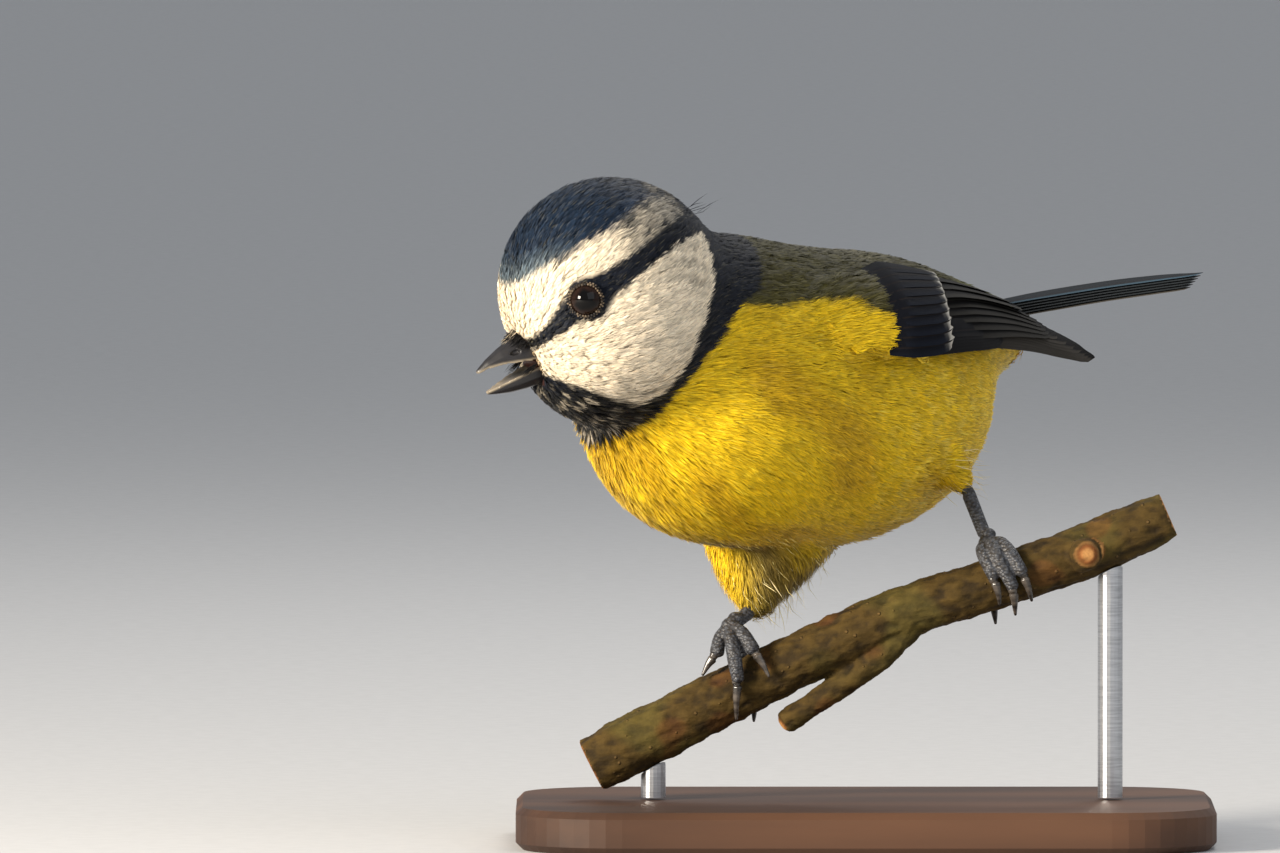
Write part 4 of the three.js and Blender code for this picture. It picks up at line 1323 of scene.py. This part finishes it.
def build_wisps(skin, material):
    """Long pale threads at the back and lower edges of the trousers."""
    tree = BVHTree.FromObject(skin, bpy.context.evaluated_depsgraph_get())
    roots = scattered(skin, wisp_spacing, WISP_TRIES)
    places, normals = on_skin(tree, roots)
    low = np.where(in_far_tuft(roots), 1, smooth(-in_trunk(roots)[:, 2], 17, 23))
    trailing = np.array([1.0, 0.0, -0.25])
    ways = lie(places, normals) + normals * 0.45 + trailing * (0.3 + 0.5 * low)[:, None]
    ways = unit(ways) + rng.normal(0, 0.16, ways.shape)
    lengths = (1.6 + 2.2 * low) * rng.uniform(0.7, 1.2, len(roots))
    pale = rng.uniform(0.2, 0.9, len(roots)) * (0.3 + 0.7 * low)
    colours = blend_to(np.tile(YELLOW_PALE, (len(roots), 1)), WHITE, pale)
    starts = places + normals * 0.5
    hairs("trouser_wisps", starts, ways, lengths, FINE_HAIR_WIDTH, colours, material)


# Legs

# Where each shank comes out of the feathers, from the bird's middle. A row of balls along the
# shank there keeps its top closed.
KNEES = np.array([[-4.6, -2.2, -25.2], [21.2, 0.4, -10.6]])
KNEE_BALLS = np.arange(-1.6, 1.3, 0.3)
SHANK_RADIUS = 0.66
# Balls that bridge the gaps from shank to foot and from claw to toe.
ANKLE_BALL = (0.85, 0.85, 0.7)
CLAW_BALL, CLAW_BALL_OUT = (0.5, 0.5, 0.5), 0.35


def build_leg(word, nodes, scutes, claw):
    """The shank, ankle and toes in one scaly skin, and claws that come out of the toes."""
    shank, foot = nodes["shank_" + word].data, nodes["foot_" + word].data
    meeting = np.mean(closest(shank, foot), axis=0)
    plugs = [ball_mesh(meeting, ANKLE_BALL)]
    knees = BIRD_AT + KNEES
    knee = knees[np.argmin(np.linalg.norm(knees - meeting, axis=1))]
    way = unit(meeting - knee)
    for along in KNEE_BALLS:
        plugs.append(ball_mesh(knee + way * along, (SHANK_RADIUS,) * 3))
    replaced = ("shank_" + word, "foot_" + word)
    smoothed("leg_" + word, nodes, replaced, 0.15, 3, 0.1, scutes, plugs)
    for i in range(1, 5):
        name = f"claw_{word}_{i}"
        own, toe = closest(nodes[name].data, foot)
        way = unit(toe - own)
        plug = ball_mesh(own + way * CLAW_BALL_OUT, CLAW_BALL)
        smoothed(name + "_horn", nodes, (name,), 0.09, 2, 0.07, claw, [plug])


# Perch

BARK = srgb(70, 54, 22)
BARK_HOLLOW_SHADE = srgb(40, 30, 14)
LICHEN = srgb(88, 80, 36)
BARK_RUST = srgb(96, 58, 26)
CUT_WOOD = srgb(196, 142, 84)
CUT_RING = srgb(120, 70, 34)
BUMP_HEIGHT = 0.2
# Cut faces: where each one's middle lies from the bird's, which way it faces and its radius.
CUTS = [
    ((-24, -4, -43.9), (-0.89, 0, -0.45), 3.6),
    ((45.5, -4, -13.7), (0.92, 0, 0.39), 3.1),
    ((35.6, -8.9, -18.2), (0.21, -0.97, 0.08), 2.3),
    ((-0.8, -4.6, -38.8), (-0.83, 0, -0.55), 1.6),
]


def cut_faces(points, normals):
    """How far each point lies on a cut face, and its distance from that face's middle."""
    cut = np.zeros(len(points))
    rings = np.zeros(len(points))
    for middle, way, radius in CUTS:
        from_middle = np.linalg.norm(points - BIRD_AT - np.array(middle), axis=1)
        near = smooth(radius + 0.6 - from_middle, 0, 0.3)
        here = near * smooth(normals @ unit(np.array(way)), 0.7, 0.85)
        cut = np.maximum(cut, here)
        rings = np.where(here > 0, from_middle, rings)
    return cut, rings


def build_perch(nodes):
    """The branch with a knobbly bark, and rings on its cut faces."""
    made = smoothed("branch", nodes, ("perch",), 0.28, 3, 0.02, bark_material())
    points = coords_of(made.data) / MM
    normals = coords_of(made.data, "normal")
    bumps = np.array([noise.fractal(Vector(p * [0.5, 0.8, 0.8]), 0.9, 2.1, 4) for p in points])
    cut, rings = cut_faces(points, normals)
    move_points(made.data, points + normals * (BUMP_HEIGHT * bumps * (1 - cut))[:, None])
    # Darker where the bumps dip, in the hollows: painted shade.
    colour = blend_to(np.tile(BARK, (len(points), 1)), BARK_HOLLOW_SHADE, smooth(-bumps, -0.1, 0.6) * 0.8)
    colour = blend_to(colour, LICHEN, smooth(patchy(points, 2.2, 81), 0.5, 0.85) * 0.45)
    colour = blend_to(colour, BARK_RUST, smooth(patchy(points, 1.5, 83), 0.75, 0.95) * 0.4)
    wood = blend_to(np.tile(CUT_WOOD, (len(points), 1)), CUT_RING, 0.5 + 0.5 * np.sin(rings * 7))
    paint(made.data, blend_to(colour, wood, cut))


# The whole scene

place_camera()
place_lights()
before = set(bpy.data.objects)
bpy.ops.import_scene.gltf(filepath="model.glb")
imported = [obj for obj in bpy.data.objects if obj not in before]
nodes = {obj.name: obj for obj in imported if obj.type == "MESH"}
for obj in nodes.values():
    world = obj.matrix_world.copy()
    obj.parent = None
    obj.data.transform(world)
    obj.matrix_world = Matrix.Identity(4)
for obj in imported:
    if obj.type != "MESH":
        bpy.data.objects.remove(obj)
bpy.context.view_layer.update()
place_floor()

wet = eye_material()
lid = lid_material()
down = down_material()
skin = build_skin(nodes)
plumage = plumage_material()
build_coat(skin, plumage)
build_bristles(plumage)
build_nape_hairs(plumage)
build_wisps(skin, plumage)
vanes = vane_material()
build_wing(1, "wing_left", vanes, down)
build_wing(-1, "wing_right", vanes, down)
build_tail(vanes)
build_eye(1, "eye_left", wet, lid)
build_eye(-1, "eye_right", wet, lid)
build_bill(nodes)
scutes = scute_material()
claw = claw_material()
build_leg("left", nodes, scutes, claw)
build_leg("right", nodes, scutes, claw)
build_perch(nodes)
steel = steel_material()
stand_wood = stand_wood_material()
for name, surface in (
    ("stand_rod_low", steel),
    ("stand_rod_high", steel),
    ("stand_base", stand_wood),
):
    nodes[name].data.materials.clear()
    nodes[name].data.materials.append(surface)


def corners(box):
    return [list(corner) for corner in box]
